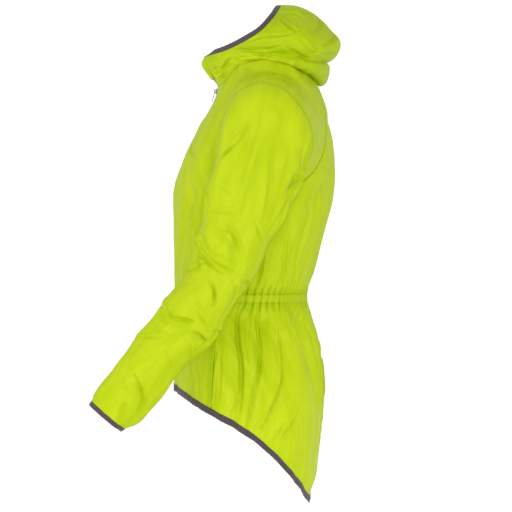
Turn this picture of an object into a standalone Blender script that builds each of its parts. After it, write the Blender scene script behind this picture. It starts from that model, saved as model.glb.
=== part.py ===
"""Light hooded raincoat, filled out as if worn, with the hood bunched down round the neck.

The garment faces -Y, the wearer's left is +X, and +Z is up. The origin is the middle of the shoulders at
the base of the neck. Tables are in millimetres. Every panel is a wall worked out from rows of points: the
rows come from the tables, folds and gathers push them in and out, and neighbouring panels share the points
of their seam, moved apart by the seam gap.
"""

import math
from collections import defaultdict, namedtuple

import bmesh
import bpy
from mathutils import Vector

MM = 0.001

# Thicknesses and gaps, mm
CLOTH_WALL = 1.2
BINDING_WALL = 2.2
BINDING_PROUD = 0.5
SEAM_GAP = 0.3
ELASTIC_WALL = 1.0
TAPE_WALL = 1.0
GUARD_WALL = 1.2

# Bindings, elastic and zip, mm
BINDING_WIDTH = 9.6
ZIP_OPENING = 2.6
CHAIN_HALF_WIDTH = 2.2
CHAIN_PROUD = 0.6
TAPE_INNER_EDGE = 0.3
TAPE_OUTER_EDGE = 11.0
ELASTIC_DEPTH = 5.0
ELASTIC_EDGE_GAP = 1.0
ELASTIC_SEAM_GAP = 4.0
TAPE_END_GAP = 1.0
CHAIN_END_GAP = 2.0
GUARD_CLEARANCE = 2.0

# Numbers of steps between rows and columns
FRONT_COLUMNS = 8
BACK_COLUMNS = 7
FRONT_ARM_ROWS = 9
BACK_ARM_ROWS = 11
NECK_SIDE_COLUMNS = 4
ELASTIC_COLUMNS = 18
SLEEVE_ROWS = 18
FOREARM_ROW = 14
ROUNDNESS = 2.4
SHARP_ANGLE_DEGREES = 50

# Above the underarm each row runs from the middle of the garment to the arm seam. `reach` is the part
# of the half width that the seam lies at, so 1 is the very side.
ArmRow = namedtuple("ArmRow", "middle_y middle_z seam_x seam_y seam_z reach")
FRONT_ARM = [
    ArmRow(-77, 0, 62, -40, 26, 0.72),
    ArmRow(-80, -16, 90, -44, 8, 0.75),
    ArmRow(-88, -34, 116, -50, -19, 0.80),
    ArmRow(-104, -59, 141, -62, -56, 0.86),
    ArmRow(-119, -89, 151, -69, -85, 0.90),
    ArmRow(-132, -116, 157, -72, -110, 0.93),
    ArmRow(-142, -142, 163, -60, -142, 0.96),
    ArmRow(-149, -162, 168, -34, -164, 0.985),
    ArmRow(-153, -184, 170, 0, -180, 1.0),
]
BACK_ARM = [
    ArmRow(66, 32, 50, 46, 36, 0.55),
    ArmRow(80, 14, 53, 72, 18, 0.50),
    ArmRow(92, -2, 57, 88, -8, 0.50),
    ArmRow(107, -35, 61, 103, -41, 0.50),
    ArmRow(114, -58, 75, 109, -60, 0.55),
    ArmRow(122, -87, 93, 110, -87, 0.65),
    ArmRow(125.5, -114, 115, 104, -117, 0.75),
    ArmRow(126.5, -132, 131, 95, -138, 0.82),
    ArmRow(126.5, -150, 148, 81, -157, 0.90),
    ArmRow(125.5, -164, 159, 63, -170, 0.95),
    ArmRow(124.5, -174, 167, 36, -178, 0.985),
    ArmRow(123, -184, 170, 0, -180, 1.0),
]
NeckSide = namedtuple("NeckSide", "x y z")
NECK_SIDE = [NeckSide(62, -40, 26), NeckSide(73, -22, 32), NeckSide(76, 0, 36), NeckSide(69, 24, 38),
             NeckSide(50, 46, 36)]

# Below the underarm each row is a full ring: y of the front, back, widest place and side seam. The columns
# are the steps of half the back panel, more where the elastic gathers it.
BodyRing = namedtuple("BodyRing", "z front_y back_y half_width widest_y seam_y back_columns gather")
BODY_RINGS = [
    BodyRing(-208, -153.5, 119, 169, -2, -6, 9, 0.0),
    BodyRing(-236, -153, 112, 165, -6, -15, 12, 0.0),
    BodyRing(-264, -153, 105, 160, -12, -25, 12, 0.0),
    BodyRing(-292, -152.5, 98.5, 155, -18, -35, 18, 0.0),
    BodyRing(-320, -152.5, 91, 151, -25, -45, 18, 0.0),
    BodyRing(-338, -152.5, 84, 149, -30, -51, 36, 0.35),
    BodyRing(-350, -153, 78.5, 147, -34, -55, 72, 0.8),
    BodyRing(-358.5, -153, 76.5, 146, -36, -57, 72, 1.0),
    BodyRing(-374.5, -153, 76.5, 146, -36, -60, 72, 1.0),
    BodyRing(-383, -153, 79, 148, -35, -63, 72, 0.85),
]
GATHERS = 36
GATHER_DEPTH = 2.5
GATHER_UNEVEN = 1.3
GATHER_SEAM_FADE = 0.06
GATHER_DRIFT = ((9.1, 0.6, 1.0), (23.0, 0.0, 0.6))
SKIRT_GATHER = 0.75
SKIRT_GATHER_LOSS = 9.0
WAIST_TOP_RING = 7
WAIST_LOW_RING = 8

# The skirt runs on from the last ring to the hem. `fall` is how far down the row is, 0 to 1. The gathers
# have faded out at the place where their strength, less its loss on the way down, reaches 0.
SkirtRow = namedtuple("SkirtRow", "fall back_y half_width widest_y seam_y back_columns")
SKIRT = [
    SkirtRow(0.035, 84, 152, -33, -66, 36),
    SkirtRow(0.08, 89, 157, -31, -70, 36),
    SkirtRow(0.15, 95.5, 165, -27, -76, 24),
    SkirtRow(0.24, 100.5, 175, -22, -81, 24),
    SkirtRow(0.34, 104.5, 185, -17, -84, 24),
    SkirtRow(0.45, 107, 194, -12, -86, 24),
    SkirtRow(0.56, 105.5, 201, -9, -88, 24),
    SkirtRow(0.67, 101, 207, -7, -89, 24),
    SkirtRow(0.78, 97, 211, -5, -90, 24),
    SkirtRow(0.89, 93, 214, -4, -90, 24),
    SkirtRow(1.0, 83, 216, -3, -91, 24),
]
# The hem's lower edge: its height for each y, from the front to the tip of the tail. The binding's upper
# edge is found from the slope over a short stretch, which is held back where the tail is steepest.
HemPoint = namedtuple("HemPoint", "y z")
HEM = [HemPoint(-154, -524), HemPoint(-130, -538), HemPoint(-106, -551), HemPoint(-82, -563.5),
       HemPoint(-59, -576), HemPoint(-36, -589.5), HemPoint(-12, -606.5), HemPoint(11, -627),
       HemPoint(38, -655), HemPoint(62, -686.5), HemPoint(82, -722)]
HEM_STRETCH = 8
HEM_STEEPEST = 1.1

# Sleeve stations from the shoulder to the cuff: front and back edge of the sleeve seen from the side, how far
# out its outer and inner sides are, and how much higher the outer side is than the inner one.
SleeveStation = namedtuple("SleeveStation", "front_y front_z back_y back_z outer_x inner_x lift")
SLEEVE = [
    SleeveStation(-69, -96, 86, -100, 207, 190, 88),
    SleeveStation(-82, -156, 70, -158, 247, 201, 56),
    SleeveStation(-98, -198, 50, -198, 268, 205, 26),
    SleeveStation(-97, -236, 29, -238, 279, 206, 12),
    SleeveStation(-110, -268, 10, -270, 286, 208, 5),
    SleeveStation(-118, -302, -2, -304, 291, 210, 0),
    SleeveStation(-134, -333, -20, -338, 294, 211, 0),
    SleeveStation(-151, -352, -41, -366, 295, 211, 0),
    SleeveStation(-167, -375, -60, -397, 293, 210, 0),
    SleeveStation(-182, -396, -71.5, -422, 290, 208, 0),
    SleeveStation(-196, -412, -87.5, -443, 287, 206, 0),
    SleeveStation(-208, -427, -109.5, -460, 283, 203, 0),
    SleeveStation(-221, -448, -130, -479, 279, 200, 0),
    SleeveStation(-238, -469, -149, -501, 275, 197, 0),
    SleeveStation(-252, -488, -163, -523, 270, 194, 0),
    SleeveStation(-268, -507, -184, -549, 265, 191, 0),
    SleeveStation(-279, -523, -206, -573, 260, 190, 0),
    SleeveStation(-284, -536, -229, -583, 256, 190, 0),
]
CUFF_EDGE = SleeveStation(-289, -543.5, -236, -587.5, 254, 191, 0)
# The sleeve is set in: it begins at its head seam. `share` is the part of the way round, from the underarm up
# the front and down the back, and `place` tells how far the head seam lies from the neck and body seams
# towards the first station (1) and the second (2). The shoulder piece fills the crescent between them.
HeadPoint = namedtuple("HeadPoint", "share place")
HEAD = [HeadPoint(0.0, 0), HeadPoint(0.24, 0), HeadPoint(0.30, 0.42), HeadPoint(0.36, 0.73),
        HeadPoint(0.42, 0.84), HeadPoint(0.48, 0.87), HeadPoint(0.53, 0.92), HeadPoint(0.57, 0.99),
        HeadPoint(0.62, 1.05), HeadPoint(0.66, 1.07), HeadPoint(0.72, 1.05), HeadPoint(0.78, 1.07),
        HeadPoint(0.83, 1.03), HeadPoint(0.88, 0.7), HeadPoint(0.93, 0), HeadPoint(1.0, 0)]
SHOULDER_COLUMNS = 4

# The hood lies folded like an accordion. Each row goes round the neck, from the chin over cheek, side and
# nape to the middle of the back; the first row is the hood's opening, the last lies just off the neckline.
HoodRow = namedtuple("HoodRow", "chin_y chin_z cheek_x cheek_y cheek_z side_x side_y side_z "
                                "nape_x nape_y nape_z back_y back_z")
HOOD = [
    HoodRow(-95, 57, 60, -65, 69.5, 90, -13, 95.5, 60, 13, 126, 24, 143.5),
    HoodRow(-101, 53, 63, -61, 62, 92.5, -8.5, 87.5, 63, 20.5, 119.5, 33.5, 145),
    HoodRow(-102, 49, 64.5, -60, 57, 98, -6, 80, 77, 40, 112, 64, 142.5),
    HoodRow(-102.5, 44, 65, -60, 54, 101, -5, 74, 87, 57, 102, 94.5, 127),
    HoodRow(-102, 39.5, 65, -60, 51, 103, -4, 68, 93, 73, 89, 121, 101),
    HoodRow(-100, 35.5, 64.5, -59.5, 48.5, 104, -3, 63, 96, 83, 74, 137, 80.5),
    HoodRow(-97.5, 32, 63.5, -59, 46, 102, -3, 58, 95, 86, 61, 134, 62),
    HoodRow(-95, 28.5, 62, -58.6, 43, 98, -3, 55, 89, 86, 53, 122, 48),
    HoodRow(-92.5, 25, 60.5, -58.3, 40, 96, -3, 52, 84, 82, 47, 112, 44),
    HoodRow(-90, 21.5, 59, -58, 37, 98, -3, 49, 88, 85, 40, 118, 38),
    HoodRow(-87.5, 18, 57, -57.5, 34, 100, -3, 45, 90, 86, 31, 118, 25),
    HoodRow(-84.5, 14.5, 55, -57, 31, 99, -3, 42, 86, 82, 23, 112, 8.5),
    HoodRow(-82, 10.5, 53, -56.5, 28, 95, -3, 41, 78, 74, 22, 101, 4),
    HoodRow(-79.5, 7, 51, -55.5, 25, 89, -2, 43, 68, 65, 31, 90, 15),
]
NECK_MIDDLE_Y = -4
# The hood stands up a little from its seam before it folds over: how far out and up, for each share of the
# way from the chin to the back
NeckStand = namedtuple("NeckStand", "share out up")
NECK_STAND = [NeckStand(0.0, 0.5, 3.5), NeckStand(0.25, 2, 4), NeckStand(0.5, 6, 8), NeckStand(0.75, 9, 6),
              NeckStand(1.0, 11, 4)]
GUARD_ROWS = (2, 11)
GUARD_COLUMNS = 1
ZIP_TOP_HOOD_ROW = 5

# The largest folds: places are (across, height) in the view from the named side, width and depth are in mm,
# and a negative depth is a trough. A fold ends at FOLD_REACH times its width from its line, and is full where
# the cloth faces the view to 1 / FACING_GAIN or more.
Fold = namedtuple("Fold", "piece view width depth places")
FOLDS = [
    Fold("sleeve_left", "left", 9, -7, [(-106, -264), (-92, -290), (-64, -305), (-50, -311)]),
    Fold("sleeve_left", "left", 12, 5, [(-96, -226), (-90, -244), (-80, -262), (-60, -282)]),
    Fold("sleeve_left", "left", 8, -5, [(-165, -388), (-152, -400), (-122, -403)]),
    Fold("sleeve_left", "left", 9, -6, [(-118, -424), (-97, -440), (-110, -458)]),
    Fold("sleeve_left", "left", 9, -5, [(-212, -500), (-200, -522), (-196, -548)]),
    Fold("sleeve_left", "left", 11, -6, [(72, -120), (72, -150), (52, -184), (46, -212)]),
    Fold("sleeve_left", "left", 12, 4, [(20, -60), (6, -140), (-14, -220), (-34, -290)]),
    Fold("sleeve_right", "right", 9, -7, [(-108, -272), (-92, -286), (-70, -300), (-44, -318)]),
    Fold("sleeve_right", "right", 12, 5, [(-94, -232), (-88, -250), (-74, -268), (-56, -280)]),
    Fold("sleeve_right", "right", 8, -5, [(-160, -380), (-146, -396), (-126, -404)]),
    Fold("sleeve_right", "right", 9, -6, [(-122, -428), (-104, -438), (-100, -452)]),
    Fold("sleeve_right", "right", 9, -5, [(-206, -492), (-204, -520), (-190, -540)]),
    Fold("sleeve_right", "right", 11, -6, [(76, -126), (70, -156), (54, -190), (42, -206)]),
    Fold("front_left", "front", 12, -4, [(120, -190), (96, -240), (66, -300)]),
    Fold("front_right", "front", 13, -4, [(-116, -182), (-98, -236), (-60, -310)]),
    Fold("front_left", "front", 11, -4, [(60, -380), (70, -440), (74, -520)]),
    Fold("front_right", "front", 12, -4, [(-52, -372), (-66, -430), (-70, -516)]),
    Fold("back", "left", 13, -8, [(-41, -402), (-44, -425), (-38, -470), (-40, -525), (-50, -565)]),
    Fold("back", "left", 13, -8, [(-2, -402), (-4, -425), (0, -460), (-4, -520), (-16, -590)]),
    Fold("back", "left", 14, -7, [(34, -440), (42, -480), (36, -530), (10, -600)]),
    Fold("back", "left", 12, -6, [(69, -406), (70, -430), (82, -478)]),
    Fold("back", "right", 13, -8, [(-38, -402), (-42, -430), (-36, -476), (-44, -560)]),
    Fold("back", "right", 13, -8, [(6, -402), (0, -426), (2, -470), (-10, -580)]),
    Fold("back", "right", 14, -7, [(40, -430), (44, -490), (30, -550), (16, -596)]),
    Fold("back", "right", 12, -6, [(66, -406), (72, -440), (80, -490)]),
    Fold("back", "back", 14, -7, [(-71, -404), (-78, -470), (-60, -560)]),
    Fold("back", "back", 14, -7, [(15, -404), (22, -470), (10, -600)]),
    Fold("back", "back", 14, -7, [(98, -404), (112, -450), (104, -540)]),
    Fold("back", "back", 16, -4, [(-86, -150), (-70, -230), (-40, -320)]),
    Fold("back", "back", 16, -4, [(80, -160), (72, -240), (34, -326)]),
]
FOLD_REACH = 1.6
FACING_GAIN = 1.5
VIEW_DIRECTION = {"left": (1, 0, 0), "right": (-1, 0, 0), "front": (0, -1, 0), "back": (0, 1, 0)}

# Zip slider and pull tab, mm: `along` runs down the zip and `out` away from the cloth
SLIDER_BELOW_THROAT = 6.0
SLIDER_HALF_LENGTH = 4.6
SLIDER_TOP_HALF_WIDTH = 4.2
SLIDER_LOW_HALF_WIDTH = 2.9
SLIDER_BASE_OUT = 0.9
SLIDER_PLATE = 1.3
BRIDGE_HALF_WIDTH = 0.8
BRIDGE_POST = 1.1
BRIDGE_START = -3.4
BRIDGE_END = 3.0
BRIDGE_CLEAR_HEIGHT = 2.8
BRIDGE_BEAM = 1.0
BRIDGE_SUNK = 0.4
PULL_HALF_WIDTH = 2.6
PULL_THICKNESS = 1.0
PULL_BAR = 1.0
PULL_HOLE_HALF_WIDTH = 1.5
PULL_HOLE_LENGTH = 5.0
PULL_LENGTH = 21.0
PIVOT_ALONG = -0.6
PIVOT_OUT = 3.6
PULL_TILT_DEGREES = 7

# Colours: linear red, green and blue, then roughness and metallic
Finish = namedtuple("Finish", "red green blue roughness metallic")
NYLON = Finish(0.52, 0.68, 0.02, 0.45, 0.0)
BINDING = Finish(0.09, 0.07, 0.075, 0.8, 0.0)
ELASTIC = Finish(0.42, 0.55, 0.03, 0.8, 0.0)
ZIP_TAPE = Finish(0.07, 0.065, 0.07, 0.8, 0.0)
ZIP_METAL = Finish(0.16, 0.15, 0.15, 0.35, 0.9)


# ---------------------------------------------------------------- smooth values between the rows of a table

def smooth_value(rows, place):
    """The row at a fractional place of a table, on a smooth curve through all its rows."""
    last = len(rows) - 1
    place = min(max(place, 0.0), last)
    index = min(int(place), last - 1)
    t = place - index
    here = rows[index]
    after = rows[index + 1]
    before = rows[index - 1] if index > 0 else [2 * a - b for a, b in zip(here, after)]
    beyond = rows[index + 2] if index + 2 <= last else [2 * b - a for a, b in zip(here, after)]
    result = []
    for a, b, c, d in zip(before, here, after, beyond):
        result.append(0.5 * (2 * b + (c - a) * t + (2 * a - 5 * b + 4 * c - d) * t ** 2
                             + (3 * b - a - 3 * c + d) * t ** 3))
    return result


def even_places(rows, steps, point_of):
    """Places in a table whose points lie evenly spaced along the curve that point_of follows."""
    fine = 12
    places = [i / fine for i in range((len(rows) - 1) * fine + 1)]
    points = [Vector(point_of(smooth_value(rows, place))) for place in places]
    lengths = [0.0]
    for a, b in zip(points, points[1:]):
        lengths.append(lengths[-1] + (b - a).length)
    found = []
    index = 0
    for step in range(steps + 1):
        goal = lengths[-1] * step / steps
        while index < len(places) - 2 and lengths[index + 1] < goal:
            index += 1
        share = (goal - lengths[index]) / max(lengths[index + 1] - lengths[index], 1e-9)
        found.append(places[index] + share / fine)
    return found


def value_at(table, x):
    """The second column of a sorted two-column table where its first column is x."""
    for a, b in zip(table, table[1:]):
        if x <= b[0] or b is table[-1]:
            share = min(max((x - a[0]) / (b[0] - a[0]), 0.0), 1.0)
            return a[1] + (b[1] - a[1]) * share
    return table[-1][1]


# ---------------------------------------------------------------- rows of the body, in millimetres

def arm_row(row, columns):
    """A row above the underarm: a stretch of a superellipse from the middle to the arm seam."""
    power = 2 / ROUNDNESS
    last_angle = math.asin(min(row.reach, 1.0) ** (1 / power))
    whole_drop = 1 - math.cos(last_angle) ** power
    points = []
    for step in range(columns + 1):
        angle = last_angle * step / columns
        across = math.sin(angle) ** power / row.reach
        drop = (1 - max(math.cos(angle), 0.0) ** power) / whole_drop
        rise = 1 - math.cos(math.pi / 2 * step / columns)
        points.append(Vector((row.seam_x * across,
                              row.middle_y + (row.seam_y - row.middle_y) * drop,
                              row.middle_z + (row.seam_z - row.middle_z) * rise)))
    return points


def ring_point(front_y, back_y, half_width, widest_y, angle):
    """A point of a full ring: angle 0 is the middle of the front and pi the middle of the back."""
    power = 2 / ROUNDNESS
    depth = widest_y - front_y if angle < math.pi / 2 else back_y - widest_y
    sine = max(math.sin(angle), 0.0) ** power
    cosine = abs(math.cos(angle)) ** power
    side = -1 if angle < math.pi / 2 else 1
    return half_width * sine, widest_y + side * depth * cosine


def seam_angle(front_y, widest_y, seam_y):
    """Where the side seam, which lies in front of the widest place, meets the ring."""
    power = 2 / ROUNDNESS
    return math.acos(((widest_y - seam_y) / (widest_y - front_y)) ** (1 / power))


def hem_height(y, above_binding):
    """Height of the hem's lower edge, or of the binding's upper edge, at a distance y from front to back."""
    z = value_at(HEM, y)
    if above_binding:
        slope = (value_at(HEM, y + HEM_STRETCH) - value_at(HEM, y - HEM_STRETCH)) / (2 * HEM_STRETCH)
        z += BINDING_WIDTH * math.hypot(1, min(abs(slope), HEM_STEEPEST))
    return z


def ring_row(ring, first_angle, last_angle, columns, height_of):
    points = []
    for step in range(columns + 1):
        angle = first_angle + (last_angle - first_angle) * step / columns
        x, y = ring_point(ring.front_y, ring.back_y, ring.half_width, ring.widest_y, angle)
        points.append(Vector((x, y, height_of(y))))
    return points


def body_rings():
    """All rings from the underarm to the hem as (ring, height function), the last one being the edge."""
    rings = []
    for ring in BODY_RINGS:
        rings.append((ring, lambda y, z=ring.z: z))
    waist = BODY_RINGS[-1]
    for row in SKIRT:
        ring = BodyRing(0, waist.front_y, row.back_y, row.half_width, row.widest_y, row.seam_y,
                        row.back_columns, max(0.0, SKIRT_GATHER - row.fall * SKIRT_GATHER_LOSS))
        rings.append((ring, lambda y, fall=row.fall: waist.z + (hem_height(y, True) - waist.z) * fall))
    rings.append((rings[-1][0], lambda y: hem_height(y, False)))
    return rings


def front_rows():
    """Rows of the left front from the neckline to the hem's edge, each from the middle to the seam."""
    places = even_places(FRONT_ARM, FRONT_ARM_ROWS, lambda row: row[2:5])
    rows = [arm_row(ArmRow(*smooth_value(FRONT_ARM, place)), FRONT_COLUMNS) for place in places]
    for ring, height_of in body_rings():
        seam = seam_angle(ring.front_y, ring.widest_y, ring.seam_y)
        rows.append(ring_row(ring, 0.0, seam, FRONT_COLUMNS, height_of))
    return rows


def half_back_rows():
    """Rows of the left half of the back, each from the seam to the middle, with the gathers' strength."""
    places = even_places(BACK_ARM, BACK_ARM_ROWS, lambda row: row[2:5])
    rows = []
    gathers = []
    for place in places:
        rows.append(arm_row(ArmRow(*smooth_value(BACK_ARM, place)), BACK_COLUMNS)[::-1])
        gathers.append(0.0)
    for ring, height_of in body_rings():
        seam = seam_angle(ring.front_y, ring.widest_y, ring.seam_y)
        rows.append(ring_row(ring, seam, math.pi, ring.back_columns, height_of))
        gathers.append(ring.gather)
    return rows, gathers


def mirrored(rows):
    """The same rows on the other side, with their points in the opposite order."""
    return [[Vector((-p.x, p.y, p.z)) for p in reversed(row)] for row in rows]


def both_halves(rows):
    """Rows from the left seam over the middle of the back to the right seam."""
    whole = []
    for row, other in zip(rows, mirrored(rows)):
        middle = Vector((0.0, row[-1].y, row[-1].z))
        whole.append(row[:-1] + [middle] + other[1:])
    return whole


# ---------------------------------------------------------------- rows of the sleeve and the hood

def sleeve_ring(station, angle):
    """A point of a sleeve ring: angle 0 is its front edge, 90 degrees its outer side."""
    centre = Vector(((station.outer_x + station.inner_x) / 2,
                     (station.front_y + station.back_y) / 2,
                     (station.front_z + station.back_z) / 2))
    to_back = Vector((0, station.back_y - station.front_y, station.back_z - station.front_z)) / 2
    to_outer = Vector(((station.outer_x - station.inner_x) / 2, 0, station.lift))
    return centre - to_back * math.cos(angle) + to_outer * math.sin(angle)


def arm_columns(front, back):
    """Guide points from the body's seams to the cuff, one column for each share of the way round the arm."""
    seam = [row[-1] for row in front[FRONT_ARM_ROWS:0:-1]]
    seam += neck_side_points()
    seam += [row[0] for row in back[1:BACK_ARM_ROWS]]
    lengths = [0.0]
    for a, b in zip(seam, seam[1:] + seam[:1]):
        lengths.append(lengths[-1] + (b - a).length)
    shares = [length / lengths[-1] for length in lengths[:-1]]
    columns = []
    for point, share in zip(seam, shares):
        angle = ring_angle(share)
        columns.append([tuple(point)] + [tuple(sleeve_ring(station, angle)) for station in SLEEVE])
    return columns, shares


def ring_angle(share):
    return 2 * math.pi * share - math.pi / 2


def sleeve_rows(columns, shares):
    """Closed rings of the left sleeve, from its head seam to the cuff's edge."""
    middle = len(columns) // 2
    last = len(SLEEVE)
    rows = []
    for place in even_places(columns[middle], SLEEVE_ROWS, lambda point: point):
        row = []
        for column, share in zip(columns, shares):
            head = value_at(HEAD, share)
            row.append(Vector(smooth_value(column, head + (last - head) * place / last)))
        rows.append(row)
    rows.append([sleeve_ring(CUFF_EDGE, ring_angle(share)) for share in shares])
    return rows


def shoulder_rows(columns, shares):
    """Lines across the left shoulder piece, from the head seam to the body's seams, front tip to back tip."""
    heads = [value_at(HEAD, share) for share in shares]
    inside = [index for index, head in enumerate(heads) if head > 0]
    rows = [[Vector(columns[inside[0] - 1][0])]]
    for index in inside:
        steps = max(1, round(SHOULDER_COLUMNS * min(heads[index], 1)))
        rows.append([Vector(smooth_value(columns[index], heads[index] * (1 - step / steps)))
                     for step in range(steps + 1)])
    rows.append([Vector(columns[inside[-1] + 1][0])])
    return rows


def neck_side_points():
    """The neckline across the top of the sleeve, from the front seam to the back one."""
    places = even_places(NECK_SIDE, NECK_SIDE_COLUMNS, lambda point: point)
    return [Vector(smooth_value(NECK_SIDE, place)) for place in places]


def hood_rows(front, back):
    """Rows of the left half of the hood from its opening down to the neckline, chin to middle of back."""
    neckline = front[0][:-1] + neck_side_points() + back[0][1:]
    shares = [math.atan2(p.x, NECK_MIDDLE_Y - p.y) / math.pi for p in neckline]
    rows = []
    for row in HOOD:
        guides = [(0, row.chin_y, row.chin_z), (row.cheek_x, row.cheek_y, row.cheek_z),
                  (row.side_x, row.side_y, row.side_z), (row.nape_x, row.nape_y, row.nape_z),
                  (0, row.back_y, row.back_z)]
        over_chin = (-guides[1][0], *guides[1][1:])
        over_back = (-guides[3][0], *guides[3][1:])
        ring = [over_chin] + guides + [over_back]
        rows.append([Vector(smooth_value(ring, 1 + 4 * share)) for share in shares])
        rows[-1][0].x = 0.0
        rows[-1][-1].x = 0.0
    stand = []
    for point, share in zip(neckline, shares):
        outward = Vector((point.x, point.y - NECK_MIDDLE_Y, 0)).normalized()
        _, out, up = smooth_value(NECK_STAND, 4 * share)
        stand.append(point + outward * out + Vector((0, 0, up)))
    rows.append(stand)
    rows.append(neckline)
    return rows


# ---------------------------------------------------------------- sheets: triangles between rows

def stitch(rows, closed=False):
    """Points and triangles of a sheet between rows that may have different numbers of points, even one."""
    points = []
    starts = []
    for row in rows:
        starts.append(len(points))
        points += row
    triangles = []
    for index in range(len(rows) - 1):
        upper = list(range(starts[index], starts[index] + len(rows[index])))
        lower = list(range(starts[index + 1], starts[index + 1] + len(rows[index + 1])))
        if closed:
            upper.append(upper[0])
            lower.append(lower[0])
        i = 0
        j = 0
        while i < len(upper) - 1 or j < len(lower) - 1:
            next_upper = (i + 1) / max(len(upper) - 1, 1)
            next_lower = (j + 1) / max(len(lower) - 1, 1)
            if next_lower <= next_upper + 1e-9 and j < len(lower) - 1:
                triangles.append((upper[i], lower[j], lower[j + 1]))
                j += 1
            else:
                triangles.append((upper[i], lower[j], upper[i + 1]))
                i += 1
    return points, triangles


class Sheet:
    """An open stretch of cloth as rows of points, with the triangles between them."""

    def __init__(self, name, rows, closed=False):
        self.name = name
        self.closed = closed
        self.row_lengths = [len(row) for row in rows]
        self.points, self.triangles = stitch(rows, closed)
        self.normals = []

    def rows_of(self, values):
        rows = []
        start = 0
        for length in self.row_lengths:
            rows.append(values[start:start + length])
            start += length
        return rows


def shared_key(point):
    return tuple(round(c, 4) for c in point)


def share_normals(sheets):
    """Give each point its normal; on a seam it is halfway between those of the sheets that meet there."""
    shared = defaultdict(Vector)
    for sheet in sheets:
        sums = defaultdict(Vector)
        for a, b, c in sheet.triangles:
            pa, pb, pc = sheet.points[a], sheet.points[b], sheet.points[c]
            face = (pb - pa).cross(pc - pa)
            for point in (pa, pb, pc):
                sums[shared_key(point)] += face
        for key, total in sums.items():
            shared[key] += total.normalized()
    for sheet in sheets:
        sheet.normals = [shared[shared_key(point)].normalized() for point in sheet.points]


def fold_push(point, normal, folds):
    """How far the folds push a point along its normal."""
    push = 0.0
    for fold in folds:
        facing = max(normal.dot(Vector(VIEW_DIRECTION[fold.view])), 0.0)
        if facing == 0.0:
            continue
        across = point.y if fold.view in ("left", "right") else point.x
        nearest = 1e9
        for (a, b), (c, d) in zip(fold.places, fold.places[1:]):
            along = Vector((c - a, d - b))
            offset = Vector((across - a, point.z - b))
            share = min(max(offset.dot(along) / along.length_squared, 0.0), 1.0)
            nearest = min(nearest, (offset - along * share).length)
        reach = fold.width * FOLD_REACH
        if nearest < reach:
            profile = math.cos(math.pi / 2 * nearest / reach) ** 2
            push += fold.depth * profile * min(facing * FACING_GAIN, 1.0)
    return push


def gather_push(share, strength):
    """Depth of the waist gathers at a share of the way round the back, from seam to seam."""
    fade = min(share, 1 - share) / GATHER_SEAM_FADE
    drift = sum(size * math.sin(pace * share + start) for pace, start, size in GATHER_DRIFT)
    wave = math.cos(2 * math.pi * GATHERS * share + GATHER_UNEVEN * drift)
    return GATHER_DEPTH * strength * wave * min(fade, 1.0)


def seam_keys(sheets):
    """Keys of the points that two sheets share."""
    owners = defaultdict(set)
    for sheet in sheets:
        for point in sheet.points:
            owners[shared_key(point)].add(sheet.name)
    return {key for key, names in owners.items() if len(names) > 1}


def push_folds(sheets, gathers):
    """Push folds and gathers into the sheets, fading them out on the seams that sheets share."""
    seams = seam_keys(sheets)
    for sheet in sheets:
        folds = [fold for fold in FOLDS if fold.piece == sheet.name]
        moved = []
        counts = sheet.rows_of(list(range(len(sheet.points))))
        for row_index, row in enumerate(counts):
            for column, index in enumerate(row):
                point = sheet.points[index]
                if shared_key(point) in seams:
                    moved.append(point.copy())
                    continue
                push = fold_push(point, sheet.normals[index], folds)
                if sheet.name == "back":
                    push += gather_push(column / (len(row) - 1), gathers[row_index])
                moved.append(point + sheet.normals[index] * push)
        sheet.points = moved


# ---------------------------------------------------------------- solids: walls from sheets

def inward_step(point, before, after, inner, normal, distance):
    """A step along the sheet, square to its edge from before to after, towards the inner point."""
    direction = normal.cross(after - before)
    if direction.length == 0 or distance == 0:
        return Vector()
    if direction.dot(inner - point) < 0:
        direction = -direction
    return direction.normalized() * distance


def inset_rows(rows, normals, closed, insets):
    """Move the outermost points inward along the sheet by (top, bottom, start, end)."""
    result = [[p.copy() for p in row] for row in rows]
    for edge, inner_row, distance in ((0, 1, insets[0]), (-1, -2, insets[1])):
        row = rows[edge]
        last = len(row) - 1
        for index, point in enumerate(row):
            before = row[index - 1] if index > 0 or closed else point
            after = row[(index + 1) % len(row)] if index < last or closed else point
            inner = rows[inner_row][round(index * (len(rows[inner_row]) - 1) / max(last, 1))]
            result[edge][index] += inward_step(point, before, after, inner, normals[edge][index], distance)
    if not closed:
        for end, inner_column, distance in ((0, 1, insets[2]), (-1, -2, insets[3])):
            for index, row in enumerate(rows):
                if len(row) == 1:
                    continue
                before = rows[max(index - 1, 0)][end]
                after = rows[min(index + 1, len(rows) - 1)][end]
                result[index][end] += inward_step(row[end], before, after, row[inner_column],
                                                  normals[index][end], distance)
    return result


def wall_mesh(name, rows, normal_rows, closed, proud, wall):
    """A closed wall: the outer side is moved out by `proud`, the inner side lies `wall` below it."""
    points, triangles = stitch(rows, closed)
    normals = [normal for row in normal_rows for normal in row]
    outer = [p + n * proud for p, n in zip(points, normals)]
    inner = [p + n * (proud - wall) for p, n in zip(points, normals)]
    count = len(points)
    faces = list(triangles)
    faces += [(c + count, b + count, a + count) for a, b, c in triangles]
    edges = defaultdict(int)
    for triangle in triangles:
        for a, b in zip(triangle, triangle[1:] + triangle[:1]):
            edges[(a, b)] += 1
    for a, b in edges:
        if (b, a) in edges:
            continue
        # Neighbouring walls split their rims along the same diagonal
        if shared_key(points[a]) < shared_key(points[b]):
            faces += [(b, a, a + count), (b, a + count, b + count)]
        else:
            faces += [(b, a, b + count), (a, a + count, b + count)]
    mesh = bpy.data.meshes.new(name)
    mesh.from_pydata([tuple(p * MM) for p in outer + inner], [], faces)
    mesh.update()
    return mesh


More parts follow.
